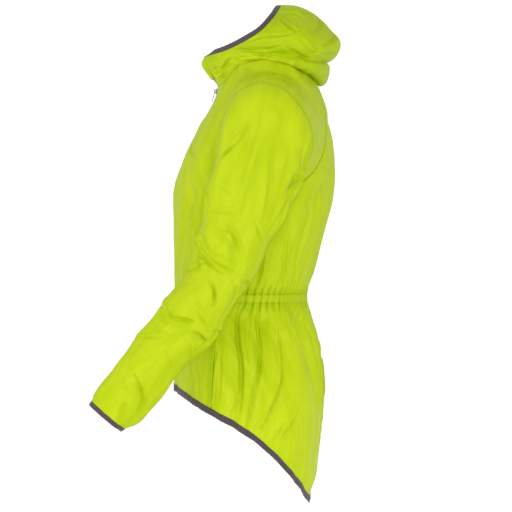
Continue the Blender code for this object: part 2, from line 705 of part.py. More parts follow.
def add_object(name, mesh, finish, parent):
    material = bpy.data.materials.get(f"{name}_material") or bpy.data.materials.new(f"{name}_material")
    material.use_nodes = True
    shader = material.node_tree.nodes["Principled BSDF"]
    shader.inputs["Base Color"].default_value = (finish.red, finish.green, finish.blue, 1)
    shader.inputs["Roughness"].default_value = finish.roughness
    shader.inputs["Metallic"].default_value = finish.metallic
    mesh.materials.append(material)
    mesh.shade_smooth()
    mesh.set_sharp_from_angle(angle=math.radians(SHARP_ANGLE_DEGREES))
    obj = bpy.data.objects.new(name, mesh)
    obj.parent = parent
    bpy.context.scene.collection.objects.link(obj)
    return obj


def add_wall(name, sheet, first_row, last_row, insets, proud, wall, finish, parent):
    """A wall on the rows of a sheet from first_row to last_row."""
    rows = sheet.rows_of(sheet.points)[first_row:last_row + 1]
    normals = sheet.rows_of(sheet.normals)[first_row:last_row + 1]
    rows = inset_rows(rows, normals, sheet.closed, insets)
    mesh = wall_mesh(name, rows, normals, sheet.closed, proud, wall)
    return add_object(name, mesh, finish, parent)


def strip_between(rows, normals, near, far):
    """Two-point rows on the stretch from the first point towards the second, near and far from it."""
    strip = []
    strip_normals = []
    for row, row_normals in zip(rows, normals):
        step = row[1] - row[0]
        new_row = []
        new_normals = []
        for distance in (near, far):
            share = distance / step.length
            new_row.append(row[0] + step * share)
            new_normals.append((row_normals[0] * (1 - share) + row_normals[1] * share).normalized())
        strip.append(new_row)
        strip_normals.append(new_normals)
    return strip, strip_normals


# ---------------------------------------------------------------- the pieces

def make_sheets():
    front = front_rows()
    half_back, gathers = half_back_rows()
    columns, shares = arm_columns(front, half_back)
    sleeve = sleeve_rows(columns, shares)
    shoulder = shoulder_rows(columns, shares)
    hood = hood_rows(front, half_back)
    sheets = [
        Sheet("front_left", front),
        Sheet("front_right", mirrored(front)),
        Sheet("back", both_halves(half_back)),
        Sheet("sleeve_left", sleeve, closed=True),
        Sheet("sleeve_right", mirrored(sleeve), closed=True),
        Sheet("shoulder_left", shoulder),
        Sheet("shoulder_right", mirrored(shoulder)),
        Sheet("hood_left", hood),
        Sheet("hood_right", mirrored(hood)),
    ]
    share_normals(sheets)
    push_folds(sheets, gathers)
    share_normals(sheets)
    return {sheet.name: sheet for sheet in sheets}


def add_panels(sheets, parent):
    """Fronts, back, shoulders, sleeves and hood halves, with the bindings that end them."""
    half = SEAM_GAP / 2
    cloth = (0.0, CLOTH_WALL, NYLON, parent)
    binding = (BINDING_PROUD, BINDING_WALL, BINDING, parent)
    last = len(sheets["front_left"].row_lengths) - 1
    for side, insets in (("left", (half, half, ZIP_OPENING, half)), ("right", (half, half, half, ZIP_OPENING))):
        front = sheets[f"front_{side}"]
        add_wall(f"front_{side}", front, 0, last - 1, insets, *cloth)
        add_wall(f"hem_binding_{side}", front, last - 1, last, insets[:1] + (0,) + insets[2:], *binding)
    back = sheets["back"]
    last = len(back.row_lengths) - 1
    add_wall("back", back, 0, last - 1, (half, half, half, half), *cloth)
    add_wall("hem_binding_back", back, last - 1, last, (half, 0, half, half), *binding)
    for side in ("left", "right"):
        shoulder = sheets[f"shoulder_{side}"]
        last = len(shoulder.row_lengths) - 1
        add_wall(f"shoulder_{side}", shoulder, 0, last, (0, 0, half, half), *cloth)
        # The sleeve is cut as one piece; it is two solids because it bends so far
        sleeve = sheets[f"sleeve_{side}"]
        last = len(sleeve.row_lengths) - 1
        add_wall(f"sleeve_upper_{side}", sleeve, 0, FOREARM_ROW, (half, half, 0, 0), *cloth)
        add_wall(f"sleeve_lower_{side}", sleeve, FOREARM_ROW, last - 1, (half, half, 0, 0), *cloth)
        add_wall(f"cuff_binding_{side}", sleeve, last - 1, last, (half, 0, 0, 0), *binding)
    for side, ends in (("left", (ZIP_OPENING, half)), ("right", (half, ZIP_OPENING))):
        hood = sheets[f"hood_{side}"]
        last = len(hood.row_lengths) - 1
        add_wall(f"hood_{side}", hood, 1, last, (half, half, *ends), *cloth)
        ends = tuple(min(end, half) for end in ends)
        add_wall(f"hood_binding_{side}", hood, 0, 1, (0, half, *ends), *binding)


def add_waist_elastic(sheets, parent):
    """The elastic in the casing of the back waist, just inside the gathers."""
    rings = body_rings()[WAIST_TOP_RING:WAIST_LOW_RING + 1]
    rows = []
    for ring, height_of in rings:
        seam = seam_angle(ring.front_y, ring.widest_y, ring.seam_y)
        rows.append(ring_row(ring, seam, math.pi, ELASTIC_COLUMNS, height_of))
    sheet = Sheet("waist_elastic", both_halves(rows))
    share_normals([sheet])
    insets = (ELASTIC_EDGE_GAP, ELASTIC_EDGE_GAP, ELASTIC_SEAM_GAP, ELASTIC_SEAM_GAP)
    add_wall("waist_elastic", sheet, 0, len(rows) - 1, insets, -ELASTIC_DEPTH, ELASTIC_WALL, ELASTIC, parent)


def zip_rows(sheets, side, ends_above_binding):
    """Rows next to the zip from the chin down to the hem, with the middle of the front as first point."""
    hood = sheets[f"hood_{side}"]
    front = sheets[f"front_{side}"]
    last = len(front.row_lengths) - (1 if ends_above_binding else 0)
    rows = hood.rows_of(hood.points)[ZIP_TOP_HOOD_ROW:-1] + front.rows_of(front.points)[:last]
    normals = hood.rows_of(hood.normals)[ZIP_TOP_HOOD_ROW:-1] + front.rows_of(front.normals)[:last]
    if side == "right":
        rows = [row[::-1] for row in rows]
        normals = [row[::-1] for row in normals]
    return rows, normals


def add_zip(sheets, parent):
    """Tapes behind the front edges and the closed chain between them."""
    for side in ("left", "right"):
        rows, normals = zip_rows(sheets, side, True)
        strip, strip_normals = strip_between(rows, normals, TAPE_INNER_EDGE, TAPE_OUTER_EDGE)
        if side == "right":
            strip = [row[::-1] for row in strip]
            strip_normals = [row[::-1] for row in strip_normals]
        strip = inset_rows(strip, strip_normals, False, (TAPE_END_GAP, TAPE_END_GAP, 0, 0))
        mesh = wall_mesh(f"zip_tape_{side}", strip, strip_normals, False, -CLOTH_WALL - SEAM_GAP, TAPE_WALL)
        add_object(f"zip_tape_{side}", mesh, ZIP_TAPE, parent)
    rows, normals = zip_rows(sheets, "left", False)
    chain = []
    chain_normals = []
    for row, row_normals in zip(rows, normals):
        out = Vector((0, row_normals[0].y, row_normals[0].z)).normalized()
        middle = Vector((0, row[0].y, row[0].z))
        across = Vector((CHAIN_HALF_WIDTH, 0, 0))
        chain.append([middle - across, middle + across])
        chain_normals.append([out, out])
    chain = inset_rows(chain, chain_normals, False, (CHAIN_END_GAP, CHAIN_END_GAP, 0, 0))
    mesh = wall_mesh("zip_chain", chain, chain_normals, False, CHAIN_PROUD, CLOTH_WALL + CHAIN_PROUD)
    add_object("zip_chain", mesh, ZIP_TAPE, parent)


def add_chin_guard(sheets, parent):
    """The patch that covers the zip's top end, made from the hood's points and moved out."""
    first, last = GUARD_ROWS
    left = sheets["hood_left"]
    right = sheets["hood_right"]
    rows = []
    normals = []
    for index in range(first, last + 1):
        here = left.rows_of(left.points)[index][:GUARD_COLUMNS + 1]
        here_normals = left.rows_of(left.normals)[index][:GUARD_COLUMNS + 1]
        there = right.rows_of(right.points)[index][-GUARD_COLUMNS - 1:]
        there_normals = right.rows_of(right.normals)[index][-GUARD_COLUMNS - 1:]
        rows.append(there + here[1:])
        normals.append(there_normals + here_normals[1:])
    mesh = wall_mesh("chin_guard", rows, normals, False, GUARD_CLEARANCE + GUARD_WALL, GUARD_WALL)
    add_object("chin_guard", mesh, NYLON, parent)


def slider_frame(sheets):
    """The slider's place just below the throat, with its directions down the chain and out of the cloth."""
    front = sheets["front_left"]
    throat = front.rows_of(front.points)[0][0]
    below = front.rows_of(front.points)[1][0]
    down = Vector((0, below.y - throat.y, below.z - throat.z)).normalized()
    out = Vector((0, down.z, -down.y))
    return Vector((0, throat.y, throat.z)) + down * SLIDER_BELOW_THROAT, down, out


def prism(outline, half_width):
    """Points and faces of an outline in (along, out) stretched from -half_width to half_width in x."""
    count = len(outline)
    points = [(x, a, o) for x in (-half_width, half_width) for a, o in outline]
    faces = [tuple(range(count)), tuple(range(2 * count - 1, count - 1, -1))]
    for i in range(count):
        j = (i + 1) % count
        faces.append((i, i + count, j + count, j))
    return points, faces


def framed_plate(outer, inner, low, high):
    """A plate with a hole: the outer outline less the inner one, four corners each, between two levels."""
    points = [(x, a, level) for level in (low, high) for outline in (outer, inner) for x, a in outline]
    faces = []
    for i in range(4):
        j = (i + 1) % 4
        faces.append((i, i + 4, j + 4, j))
        faces.append((i + 8, j + 8, j + 12, i + 12))
        faces.append((i, j, j + 8, i + 8))
        faces.append((i + 4, i + 12, j + 12, j + 4))
    return points, faces


def mesh_in_frame(name, points, faces, origin, down, out, pivot):
    """A mesh from points given as (x, along, out) in the slider's frame, about the pivot."""
    mesh = bpy.data.meshes.new(name)
    placed = [origin + Vector((x, 0, 0)) + down * a + out * o - pivot for x, a, o in points]
    mesh.from_pydata([tuple(p * MM) for p in placed], [], faces)
    mesh.update()
    return mesh


def make_outward(mesh):
    shape = bmesh.new()
    shape.from_mesh(mesh)
    bmesh.ops.recalc_face_normals(shape, faces=shape.faces)
    if shape.calc_volume(signed=True) < 0:
        bmesh.ops.reverse_faces(shape, faces=shape.faces)
    shape.to_mesh(mesh)
    shape.free()


def add_slider(sheets, parent):
    """A plate on the chain with a bridge over it, in one piece."""
    origin, down, out = slider_frame(sheets)
    low = SLIDER_BASE_OUT
    high = low + SLIDER_PLATE
    outline = [(-SLIDER_TOP_HALF_WIDTH, -SLIDER_HALF_LENGTH), (SLIDER_TOP_HALF_WIDTH, -SLIDER_HALF_LENGTH),
               (SLIDER_LOW_HALF_WIDTH, SLIDER_HALF_LENGTH), (-SLIDER_LOW_HALF_WIDTH, SLIDER_HALF_LENGTH)]
    points = [(x, a, low) for x, a in outline] + [(x, a, high) for x, a in outline]
    faces = [(0, 1, 2, 3), (4, 7, 6, 5)]
    for i in range(4):
        j = (i + 1) % 4
        faces.append((i, j, j + 4, i + 4))
    plate = mesh_in_frame("zip_slider", points, faces, origin, down, out, Vector())
    make_outward(plate)
    top = high + BRIDGE_CLEAR_HEIGHT
    foot = high - BRIDGE_SUNK
    bridge_outline = [(BRIDGE_START, foot), (BRIDGE_START, top + BRIDGE_BEAM),
                      (BRIDGE_END, top + BRIDGE_BEAM), (BRIDGE_END, foot),
                      (BRIDGE_END - BRIDGE_POST, foot), (BRIDGE_END - BRIDGE_POST, top),
                      (BRIDGE_START + BRIDGE_POST, top), (BRIDGE_START + BRIDGE_POST, foot)]
    points, faces = prism(bridge_outline, BRIDGE_HALF_WIDTH)
    bridge = mesh_in_frame("slider_bridge", points, faces, origin, down, out, Vector())
    make_outward(bridge)
    guide = bpy.data.objects.new("slider_bridge_guide", bridge)
    guide.hide_render = True
    guide.display_type = "WIRE"
    guide.parent = parent
    bpy.context.scene.collection.objects.link(guide)
    slider = add_object("zip_slider", plate, ZIP_METAL, parent)
    join = slider.modifiers.new("bridge", "BOOLEAN")
    join.operation = "UNION"
    join.object = guide


def add_pull(sheets, parent):
    """The pull tab: a plate with a hole whose upper bar turns under the slider's bridge."""
    origin, down, out = slider_frame(sheets)
    pivot = origin + down * PIVOT_ALONG + out * PIVOT_OUT
    tilt = math.radians(PULL_TILT_DEGREES)
    tab_down = down * math.cos(tilt) + out * math.sin(tilt)
    tab_out = out * math.cos(tilt) - down * math.sin(tilt)
    outer = [(-PULL_HALF_WIDTH, -PULL_BAR / 2), (PULL_HALF_WIDTH, -PULL_BAR / 2),
             (PULL_HALF_WIDTH, PULL_LENGTH), (-PULL_HALF_WIDTH, PULL_LENGTH)]
    inner = [(-PULL_HOLE_HALF_WIDTH, PULL_BAR / 2), (PULL_HOLE_HALF_WIDTH, PULL_BAR / 2),
             (PULL_HOLE_HALF_WIDTH, PULL_HOLE_LENGTH), (-PULL_HOLE_HALF_WIDTH, PULL_HOLE_LENGTH)]
    points, faces = framed_plate(outer, inner, -PULL_THICKNESS / 2, PULL_THICKNESS / 2)
    mesh = mesh_in_frame("zip_pull", points, faces, pivot, tab_down, tab_out, pivot)
    make_outward(mesh)
    pull = add_object("zip_pull", mesh, ZIP_METAL, parent)
    pull.location = pivot * MM


def main():
    for obj in list(bpy.data.objects):
        bpy.data.objects.remove(obj, do_unlink=True)
    garment = bpy.data.objects.new("raincoat", None)
    bpy.context.scene.collection.objects.link(garment)
    sheets = make_sheets()
    add_panels(sheets, garment)
    add_waist_elastic(sheets, garment)
    add_zip(sheets, garment)
    add_chin_guard(sheets, garment)
    add_slider(sheets, garment)
    add_pull(sheets, garment)


main()
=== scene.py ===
"""Looks of a light hooded raincoat: fine cloth, folds, gathers, stitching, zip teeth and finishes.

The cloth follows the same tables as the solids, in millimetres: the garment faces -Y, the wearer's left is +X
and +Z is up. Every panel is a grid of points, rows running down and columns running across, that folds,
gathers and drape push along its normals.
"""
import math
from collections import namedtuple

import bmesh
import bpy
import numpy as np
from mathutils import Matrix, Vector, noise


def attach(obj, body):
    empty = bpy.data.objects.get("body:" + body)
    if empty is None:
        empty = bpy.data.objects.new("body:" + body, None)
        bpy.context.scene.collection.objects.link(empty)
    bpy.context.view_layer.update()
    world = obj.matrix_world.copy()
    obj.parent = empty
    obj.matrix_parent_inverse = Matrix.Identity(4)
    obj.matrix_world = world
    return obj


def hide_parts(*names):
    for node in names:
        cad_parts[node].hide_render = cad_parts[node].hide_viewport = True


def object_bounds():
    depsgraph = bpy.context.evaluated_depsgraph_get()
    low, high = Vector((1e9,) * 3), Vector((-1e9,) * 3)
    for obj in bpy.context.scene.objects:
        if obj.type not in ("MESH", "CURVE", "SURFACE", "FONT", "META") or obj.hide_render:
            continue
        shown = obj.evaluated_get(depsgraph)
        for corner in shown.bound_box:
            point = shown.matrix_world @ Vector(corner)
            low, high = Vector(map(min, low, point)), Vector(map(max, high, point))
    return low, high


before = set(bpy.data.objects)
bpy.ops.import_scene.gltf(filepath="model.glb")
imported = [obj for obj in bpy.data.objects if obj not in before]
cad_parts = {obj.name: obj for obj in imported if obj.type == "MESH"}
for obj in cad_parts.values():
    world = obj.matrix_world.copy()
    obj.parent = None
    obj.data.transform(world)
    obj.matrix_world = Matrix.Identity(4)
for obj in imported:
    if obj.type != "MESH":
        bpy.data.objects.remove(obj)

CAD_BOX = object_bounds()
MM = 0.001
GARMENT = "garment"

# ---------------------------------------------------------------- sizes shared with the solids, mm

BINDING_WIDTH = 9.6
BINDING_THICKNESS = 2.2
BINDING_PROUD = 0.5
ZIP_OPENING = 2.6
TAPE_OUTER_EDGE = 11.0
TAPE_DEPTH = 1.6
ELASTIC_DEPTH = 5.0
ROUNDNESS = 2.4


def rows_of(kind, rows):
    """The rows of a table, each with the named columns of its kind."""
    return [kind(*row) for row in rows]


ArmRow = namedtuple("ArmRow", "middle_y middle_z seam_x seam_y seam_z reach")
FRONT_ARM = rows_of(ArmRow, [
    (-77, 0, 62, -40, 26, 0.72),
    (-80, -16, 90, -44, 8, 0.75),
    (-88, -34, 116, -50, -19, 0.80),
    (-104, -59, 141, -62, -56, 0.86),
    (-119, -89, 151, -69, -85, 0.90),
    (-132, -116, 157, -72, -110, 0.93),
    (-142, -142, 163, -60, -142, 0.96),
    (-149, -162, 168, -34, -164, 0.985),
    (-153, -184, 170, 0, -180, 1.0),
])
BACK_ARM = rows_of(ArmRow, [
    (66, 32, 50, 46, 36, 0.55),
    (80, 14, 53, 72, 18, 0.50),
    (92, -2, 57, 88, -8, 0.50),
    (107, -35, 61, 103, -41, 0.50),
    (114, -58, 75, 109, -60, 0.55),
    (122, -87, 93, 110, -87, 0.65),
    (125.5, -114, 115, 104, -117, 0.75),
    (126.5, -132, 131, 95, -138, 0.82),
    (126.5, -150, 148, 81, -157, 0.90),
    (125.5, -164, 159, 63, -170, 0.95),
    (124.5, -174, 167, 36, -178, 0.985),
    (123, -184, 170, 0, -180, 1.0),
])
NeckSide = namedtuple("NeckSide", "x y z")
NECK_SIDE = rows_of(NeckSide, [(62, -40, 26), (73, -22, 32), (76, 0, 36), (69, 24, 38), (50, 46, 36)])

BodyRing = namedtuple("BodyRing", "z front_y back_y half_width widest_y seam_y gather")
BODY_RINGS = rows_of(BodyRing, [
    (-208, -153.5, 119, 169, -2, -6, 0.0),
    (-236, -153, 112, 165, -6, -15, 0.0),
    (-264, -153, 105, 160, -12, -25, 0.0),
    (-292, -152.5, 98.5, 155, -18, -35, 0.0),
    (-320, -152.5, 91, 151, -25, -45, 0.0),
    (-338, -152.5, 84, 149, -30, -51, 0.35),
    (-350, -153, 78.5, 147, -34, -55, 0.8),
    (-358.5, -153, 76.5, 146, -36, -57, 1.0),
    (-374.5, -153, 76.5, 146, -36, -60, 1.0),
    (-383, -153, 79, 148, -35, -63, 0.85),
])
GATHERS = 36
GATHER_DEPTH = 2.5
GATHER_UNEVEN = 1.3
GATHER_SEAM_FADE = 0.06
GATHER_DRIFT = ((9.1, 0.6, 1.0), (23.0, 0.0, 0.6))
SKIRT_GATHER = 0.75
SKIRT_GATHER_LOSS = 9.0
CASING_TOP = -358.5
CASING_LOW = -374.5

SkirtRow = namedtuple("SkirtRow", "fall back_y half_width widest_y seam_y")
SKIRT = rows_of(SkirtRow, [
    (0.035, 84, 152, -33, -66),
    (0.08, 89, 157, -31, -70),
    (0.15, 95.5, 165, -27, -76),
    (0.24, 100.5, 175, -22, -81),
    (0.34, 104.5, 185, -17, -84),
    (0.45, 107, 194, -12, -86),
    (0.56, 105.5, 201, -9, -88),
    (0.67, 101, 207, -7, -89),
    (0.78, 97, 211, -5, -90),
    (0.89, 93, 214, -4, -90),
    (1.0, 83, 216, -3, -91),
])
HemPoint = namedtuple("HemPoint", "y z")
HEM = rows_of(HemPoint, [
    (-154, -524), (-130, -538), (-106, -551), (-82, -563.5), (-59, -576), (-36, -589.5),
    (-12, -606.5), (11, -627), (38, -655), (62, -686.5), (82, -722),
])
HEM_STRETCH = 8
HEM_STEEPEST = 1.1

SleeveStation = namedtuple("SleeveStation", "front_y front_z back_y back_z outer_x inner_x lift")
SLEEVE = rows_of(SleeveStation, [
    (-69, -96, 86, -100, 207, 190, 88),
    (-82, -156, 70, -158, 247, 201, 56),
    (-98, -198, 50, -198, 268, 205, 26),
    (-97, -236, 29, -238, 279, 206, 12),
    (-110, -268, 10, -270, 286, 208, 5),
    (-118, -302, -2, -304, 291, 210, 0),
    (-134, -333, -20, -338, 294, 211, 0),
    (-151, -352, -41, -366, 295, 211, 0),
    (-167, -375, -60, -397, 293, 210, 0),
    (-182, -396, -71.5, -422, 290, 208, 0),
    (-196, -412, -87.5, -443, 287, 206, 0),
    (-208, -427, -109.5, -460, 283, 203, 0),
    (-221, -448, -130, -479, 279, 200, 0),
    (-238, -469, -149, -501, 275, 197, 0),
    (-252, -488, -163, -523, 270, 194, 0),
    (-268, -507, -184, -549, 265, 191, 0),
    (-279, -523, -206, -573, 260, 190, 0),
    (-284, -536, -229, -583, 256, 190, 0),
])
CUFF_EDGE = SleeveStation(-289, -543.5, -236, -587.5, 254, 191, 0)
# The head seam of the sleeve, by the share of the way round; the shoulder piece lies between it and the body
HeadPoint = namedtuple("HeadPoint", "share place")
HEAD = rows_of(HeadPoint, [
    (0.0, 0), (0.24, 0), (0.30, 0.42), (0.36, 0.73), (0.42, 0.84), (0.48, 0.87), (0.53, 0.92), (0.57, 0.99),
    (0.62, 1.05), (0.66, 1.07), (0.72, 1.05), (0.78, 1.07), (0.83, 1.03), (0.88, 0.7), (0.93, 0), (1.0, 0),
])
SHOULDER_SHARES = (0.245, 0.925)
SHOULDER_MIDDLE = 0.6

HoodRow = namedtuple("HoodRow", "chin_y chin_z cheek_x cheek_y cheek_z side_x side_y side_z "
                                "nape_x nape_y nape_z back_y back_z")
HOOD = rows_of(HoodRow, [
    (-95, 57, 60, -65, 69.5, 90, -13, 95.5, 60, 13, 126, 24, 143.5),
    (-101, 53, 63, -61, 62, 92.5, -8.5, 87.5, 63, 20.5, 119.5, 33.5, 145),
    (-102, 49, 64.5, -60, 57, 98, -6, 80, 77, 40, 112, 64, 142.5),
    (-102.5, 44, 65, -60, 54, 101, -5, 74, 87, 57, 102, 94.5, 127),
    (-102, 39.5, 65, -60, 51, 103, -4, 68, 93, 73, 89, 121, 101),
    (-100, 35.5, 64.5, -59.5, 48.5, 104, -3, 63, 96, 83, 74, 137, 80.5),
    (-97.5, 32, 63.5, -59, 46, 102, -3, 58, 95, 86, 61, 134, 62),
    (-95, 28.5, 62, -58.6, 43, 98, -3, 55, 89, 86, 53, 122, 48),
    (-92.5, 25, 60.5, -58.3, 40, 96, -3, 52, 84, 82, 47, 112, 44),
    (-90, 21.5, 59, -58, 37, 98, -3, 49, 88, 85, 40, 118, 38),
    (-87.5, 18, 57, -57.5, 34, 100, -3, 45, 90, 86, 31, 118, 25),
    (-84.5, 14.5, 55, -57, 31, 99, -3, 42, 86, 82, 23, 112, 8.5),
    (-82, 10.5, 53, -56.5, 28, 95, -3, 41, 78, 74, 22, 101, 4),
    (-79.5, 7, 51, -55.5, 25, 89, -2, 43, 68, 65, 31, 90, 15),
])
NECK_MIDDLE_Y = -4
NeckStand = namedtuple("NeckStand", "share out up")
NECK_STAND = rows_of(NeckStand, [(0.0, 0.5, 3.5), (0.25, 2, 4), (0.5, 6, 8), (0.75, 9, 6), (1.0, 11, 4)])
ROLL_ROWS = slice(9, 15)
ROLL_COLUMNS = 81
ROLL_CLEAR = 1.5
ROLL_FADE = 32
LIFT_MOST = 15
LIFT_LOWEST = -60
LIFT_BEGINS = 0.2
LIFT_GROWTH = 0.15
LIFT_NECK = 8
GUARD_FIRST_ROW = 2
GUARD_LAST_ROW = 11
GUARD_SHARE = 0.051
GUARD_OUT = 3.2
ZIP_TOP_HOOD_ROW = 5

# Folds: `places` are (across, height) in the view from the named side. A negative depth is a trough. `lip`
# raises the cloth beside the fold, to its left along the places if it is positive and to its right if it is
# negative, and `taper` is 1 where the fold fades towards both of its ends.
Fold = namedtuple("Fold", "piece view width depth lip taper places")


def folds_of(groups):
    """Folds from groups of a piece, a view and rows of width, depth, lip, taper and places."""
    return [Fold(piece, view, *row) for piece, view, rows in groups for row in rows]


FOLDS = folds_of([
    ("sleeve_left", "left", [
        (9, -7, 0, 0, [(-106, -264), (-92, -290), (-64, -305), (-50, -311)]),
        (12, 5, 0, 0, [(-96, -226), (-90, -244), (-80, -262), (-60, -282)]),
        (8, -5, 0, 0, [(-165, -388), (-152, -400), (-122, -403)]),
        (9, -6, 0, 0, [(-118, -424), (-97, -440), (-110, -458)]),
        (9, -5, 0, 0, [(-212, -500), (-200, -522), (-196, -548)]),
        (11, -6, 0, 0, [(72, -120), (72, -150), (52, -184), (46, -212)]),
        (12, 4, 0, 0, [(20, -60), (6, -140), (-14, -220), (-34, -290)]),
    ]),
    ("sleeve_right", "right", [
        (9, -7, 0, 0, [(-108, -272), (-92, -286), (-70, -300), (-44, -318)]),
        (12, 5, 0, 0, [(-94, -232), (-88, -250), (-74, -268), (-56, -280)]),
        (8, -5, 0, 0, [(-160, -380), (-146, -396), (-126, -404)]),
        (9, -6, 0, 0, [(-122, -428), (-104, -438), (-100, -452)]),
        (9, -5, 0, 0, [(-206, -492), (-204, -520), (-190, -540)]),
        (11, -6, 0, 0, [(76, -126), (70, -156), (54, -190), (42, -206)]),
    ]),
    ("front_left", "front", [
        (12, -4, 0, 0, [(120, -190), (96, -240), (66, -300)]),
    ]),
    ("front_right", "front", [
        (13, -4, 0, 0, [(-116, -182), (-98, -236), (-60, -310)]),
    ]),
    ("front_left", "front", [
        (11, -4, 0, 0, [(60, -380), (70, -440), (74, -520)]),
    ]),
    ("front_right", "front", [
        (12, -4, 0, 0, [(-52, -372), (-66, -430), (-70, -516)]),
    ]),
    ("back", "left", [
        (13, -8, 0, 0, [(-41, -402), (-44, -425), (-38, -470), (-40, -525), (-50, -565)]),
        (13, -8, 0, 0, [(-2, -402), (-4, -425), (0, -460), (-4, -520), (-16, -590)]),
        (14, -7, 0, 0, [(34, -440), (42, -480), (36, -530), (10, -600)]),
        (12, -6, 0, 0, [(69, -406), (70, -430), (82, -478)]),
    ]),
    ("back", "right", [
        (13, -8, 0, 0, [(-38, -402), (-42, -430), (-36, -476), (-44, -560)]),
        (13, -8, 0, 0, [(6, -402), (0, -426), (2, -470), (-10, -580)]),
        (14, -7, 0, 0, [(40, -430), (44, -490), (30, -550), (16, -596)]),
        (12, -6, 0, 0, [(66, -406), (72, -440), (80, -490)]),
    ]),
    ("back", "back", [
        (14, -7, 0, 0, [(-71, -404), (-78, -470), (-60, -560)]),
        (14, -7, 0, 0, [(15, -404), (22, -470), (10, -600)]),
        (14, -7, 0, 0, [(98, -404), (112, -450), (104, -540)]),
        (16, -4, 0, 0, [(-86, -150), (-70, -230), (-40, -320)]),
        (16, -4, 0, 0, [(80, -160), (72, -240), (34, -326)]),
    ]),
])
FOLD_REACH = 1.6
FOLD_FAR = 2.2
FOLD_FINE = 6
LIP_PLACE = 1.15
LIP_REACH = 0.8
TAPER_POWER = 0.7
FACING_GAIN = 1.5
VIEW_DIRECTION = {"left": (1, 0, 0), "right": (-1, 0, 0), "front": (0, -1, 0), "back": (0, 1, 0)}

# ---------------------------------------------------------------- sizes of the fine cloth, mm

# Rows lie closer between the first and the last of the waist's guides, which are counted from the arm's rows
ROW_SPACING = 3.2
WAIST_ROW_SPACING = 1.3
WAIST_GUIDES = (4, 11)
SLEEVE_SPACING_SHARE = 0.7
HOOD_SPACING_SHARE = 0.5
# Extra rows below the sleeve's head seam and extra columns beside a seam
HEAD_ROWS = (0.04, 0.08, 0.12)
SEAM_STEPS = (0.006, 0.012, 0.02)
# Points on the curves through the tables
SEAM_POINTS = 41
HEM_POINTS = 121
HEAD_POINTS = 301
ARM_SEAM_FINE = 8
FRONT_COLUMNS = 84
BACK_COLUMNS = 150
SLEEVE_COLUMNS = 190
SHOULDER_ROWS = 38
SHOULDER_COLUMNS = 120
HOOD_COLUMNS = 130
SEAM_GROOVE_WIDTH = 1.7
SEAM_GROOVE_DEPTH = 0.8
SEAM_FADE = 11.0
ALLOWANCE_WIDTH = 3.4
ALLOWANCE_SHADE = 0.6
ALLOWANCE_FADE = 1.5
FINE_GATHERS = 2.05
FINE_DEPTH = 0.4
FINE_REACH = 22
GATHER_ROUND = 0.8
GATHER_MIDDLE = 1.15
CASING_EDGE = 3
CASING_HELD = 0.45
CASING_RISE = 0.9
CASING_LINE_WIDTH = 1.5
CASING_LINE_DEPTH = 1.3
# Painted shade in the gathers' troughs beside the waist's casing and on its stitched lines
GATHER_SHADE = 1.1
CASING_SHADE = 0.8
HOOD_SHADE = 0.45
FAINT_SEAM = 0.25

SEAM_STITCH_INSET = 2.6
ZIP_STITCH_INSET = 4.0
BINDING_STITCH_INSET = 1.7
BINDING_STITCH_PITCH = 2.6
BINDING_END_GAP = 0.2
SAME_PLACE = 2.0
DIRECTION_STEP = 0.5
TOOTH_PITCH = 0.85
TOOTH_WIDTH = 0.72
TOOTH_REACH = 2.1
TOOTH_OVERLAP = 0.45
TOOTH_LEVELS = ((-0.9, 0.0), (0.25, 0.0), (0.5, 0.22))
ZIP_TAPE_COLUMNS = (0.3, 1.2, ZIP_OPENING, 5.0, 8.0, TAPE_OUTER_EDGE)
GUARD_COLUMNS = 9
GUARD_ROWS = 40
GUARD_STITCH_INSET = 1.5
GUARD_EDGE = 0.5
GUARD_ROLL = 3.0
WAIST_TOP_RING = 7
ELASTIC_COLUMNS = 60
ELASTIC_ROWS = 9
ELASTIC_MARGIN = 1
ELASTIC_END = 4

SKY = 0.72
STAGE_GLOW = 0.30
STAGE_COLOUR = (0.93, 0.93, 0.93)
STAGE_ROUGHNESS = 0.9
AreaLight = namedtuple("AreaLight", "name place target size power")
LIGHTS = [
    AreaLight("key", (2.2, -2.6, 1.6), (0, 0, -0.3), 1.2, 26),
    AreaLight("fill", (4.6, 0.4, -0.1), (0, 0, -0.25), 2.4, 104),
]

# Stage, in metres: how far it lies below the garment, its flat radius and the radius of its rising edge
STAGE_DROP = 0.06
STAGE_FLAT = 7.0
STAGE_CURVE = 4.0
STAGE_STEPS = 12
STAGE_SIDES = 96

# Camera: level, from the wearer's left, so that 512 px span 0.896 m at the garment's middle
CAMERA_PLACE = (5.0, -0.0105, -0.294)
CAMERA_LENS = 200.9
CAMERA_SENSOR = 36


# ---------------------------------------------------------------- smooth values between the rows of a table

def smooth_rows(rows, places):
    """Rows of a table at fractional places, on a smooth curve through all its rows."""
    rows = np.asarray(rows, float)
    places = np.clip(np.asarray(places, float), 0, len(rows) - 1)
    padded = np.concatenate([2 * rows[:1] - rows[1:2], rows, 2 * rows[-1:] - rows[-2:-1]])
    index = np.minimum(places.astype(int), len(rows) - 2)
    t = (places - index).reshape((-1,) + (1,) * (rows.ndim - 1))
    a, b, c, d = (padded[index + k] for k in range(4))
    square = 2 * a - 5 * b + 4 * c - d
    cube = 3 * b - a - 3 * c + d
    return 0.5 * (2 * b + (c - a) * t + square * t ** 2 + cube * t ** 3)


def lengths_along(points):
    """Length from the start to each point of a line, or of each line in a stack."""
    steps = np.linalg.norm(np.diff(points, axis=-2), axis=-1)
    start = np.zeros(steps.shape[:-1] + (1,))
    return np.concatenate([start, np.cumsum(steps, axis=-1)], axis=-1)


def row_places(guides, spacing_of):
    """Fractional places between guide rows, so that neighbouring rows lie about the wanted spacing apart."""
    places = []
    for index in range(len(guides) - 1):
        gap = np.linalg.norm(guides[index + 1] - guides[index], axis=-1).mean()
        count = max(1, math.ceil(gap / spacing_of(index)))
        places += [index + k / count for k in range(count)]
    return np.array(places + [len(guides) - 1.0])


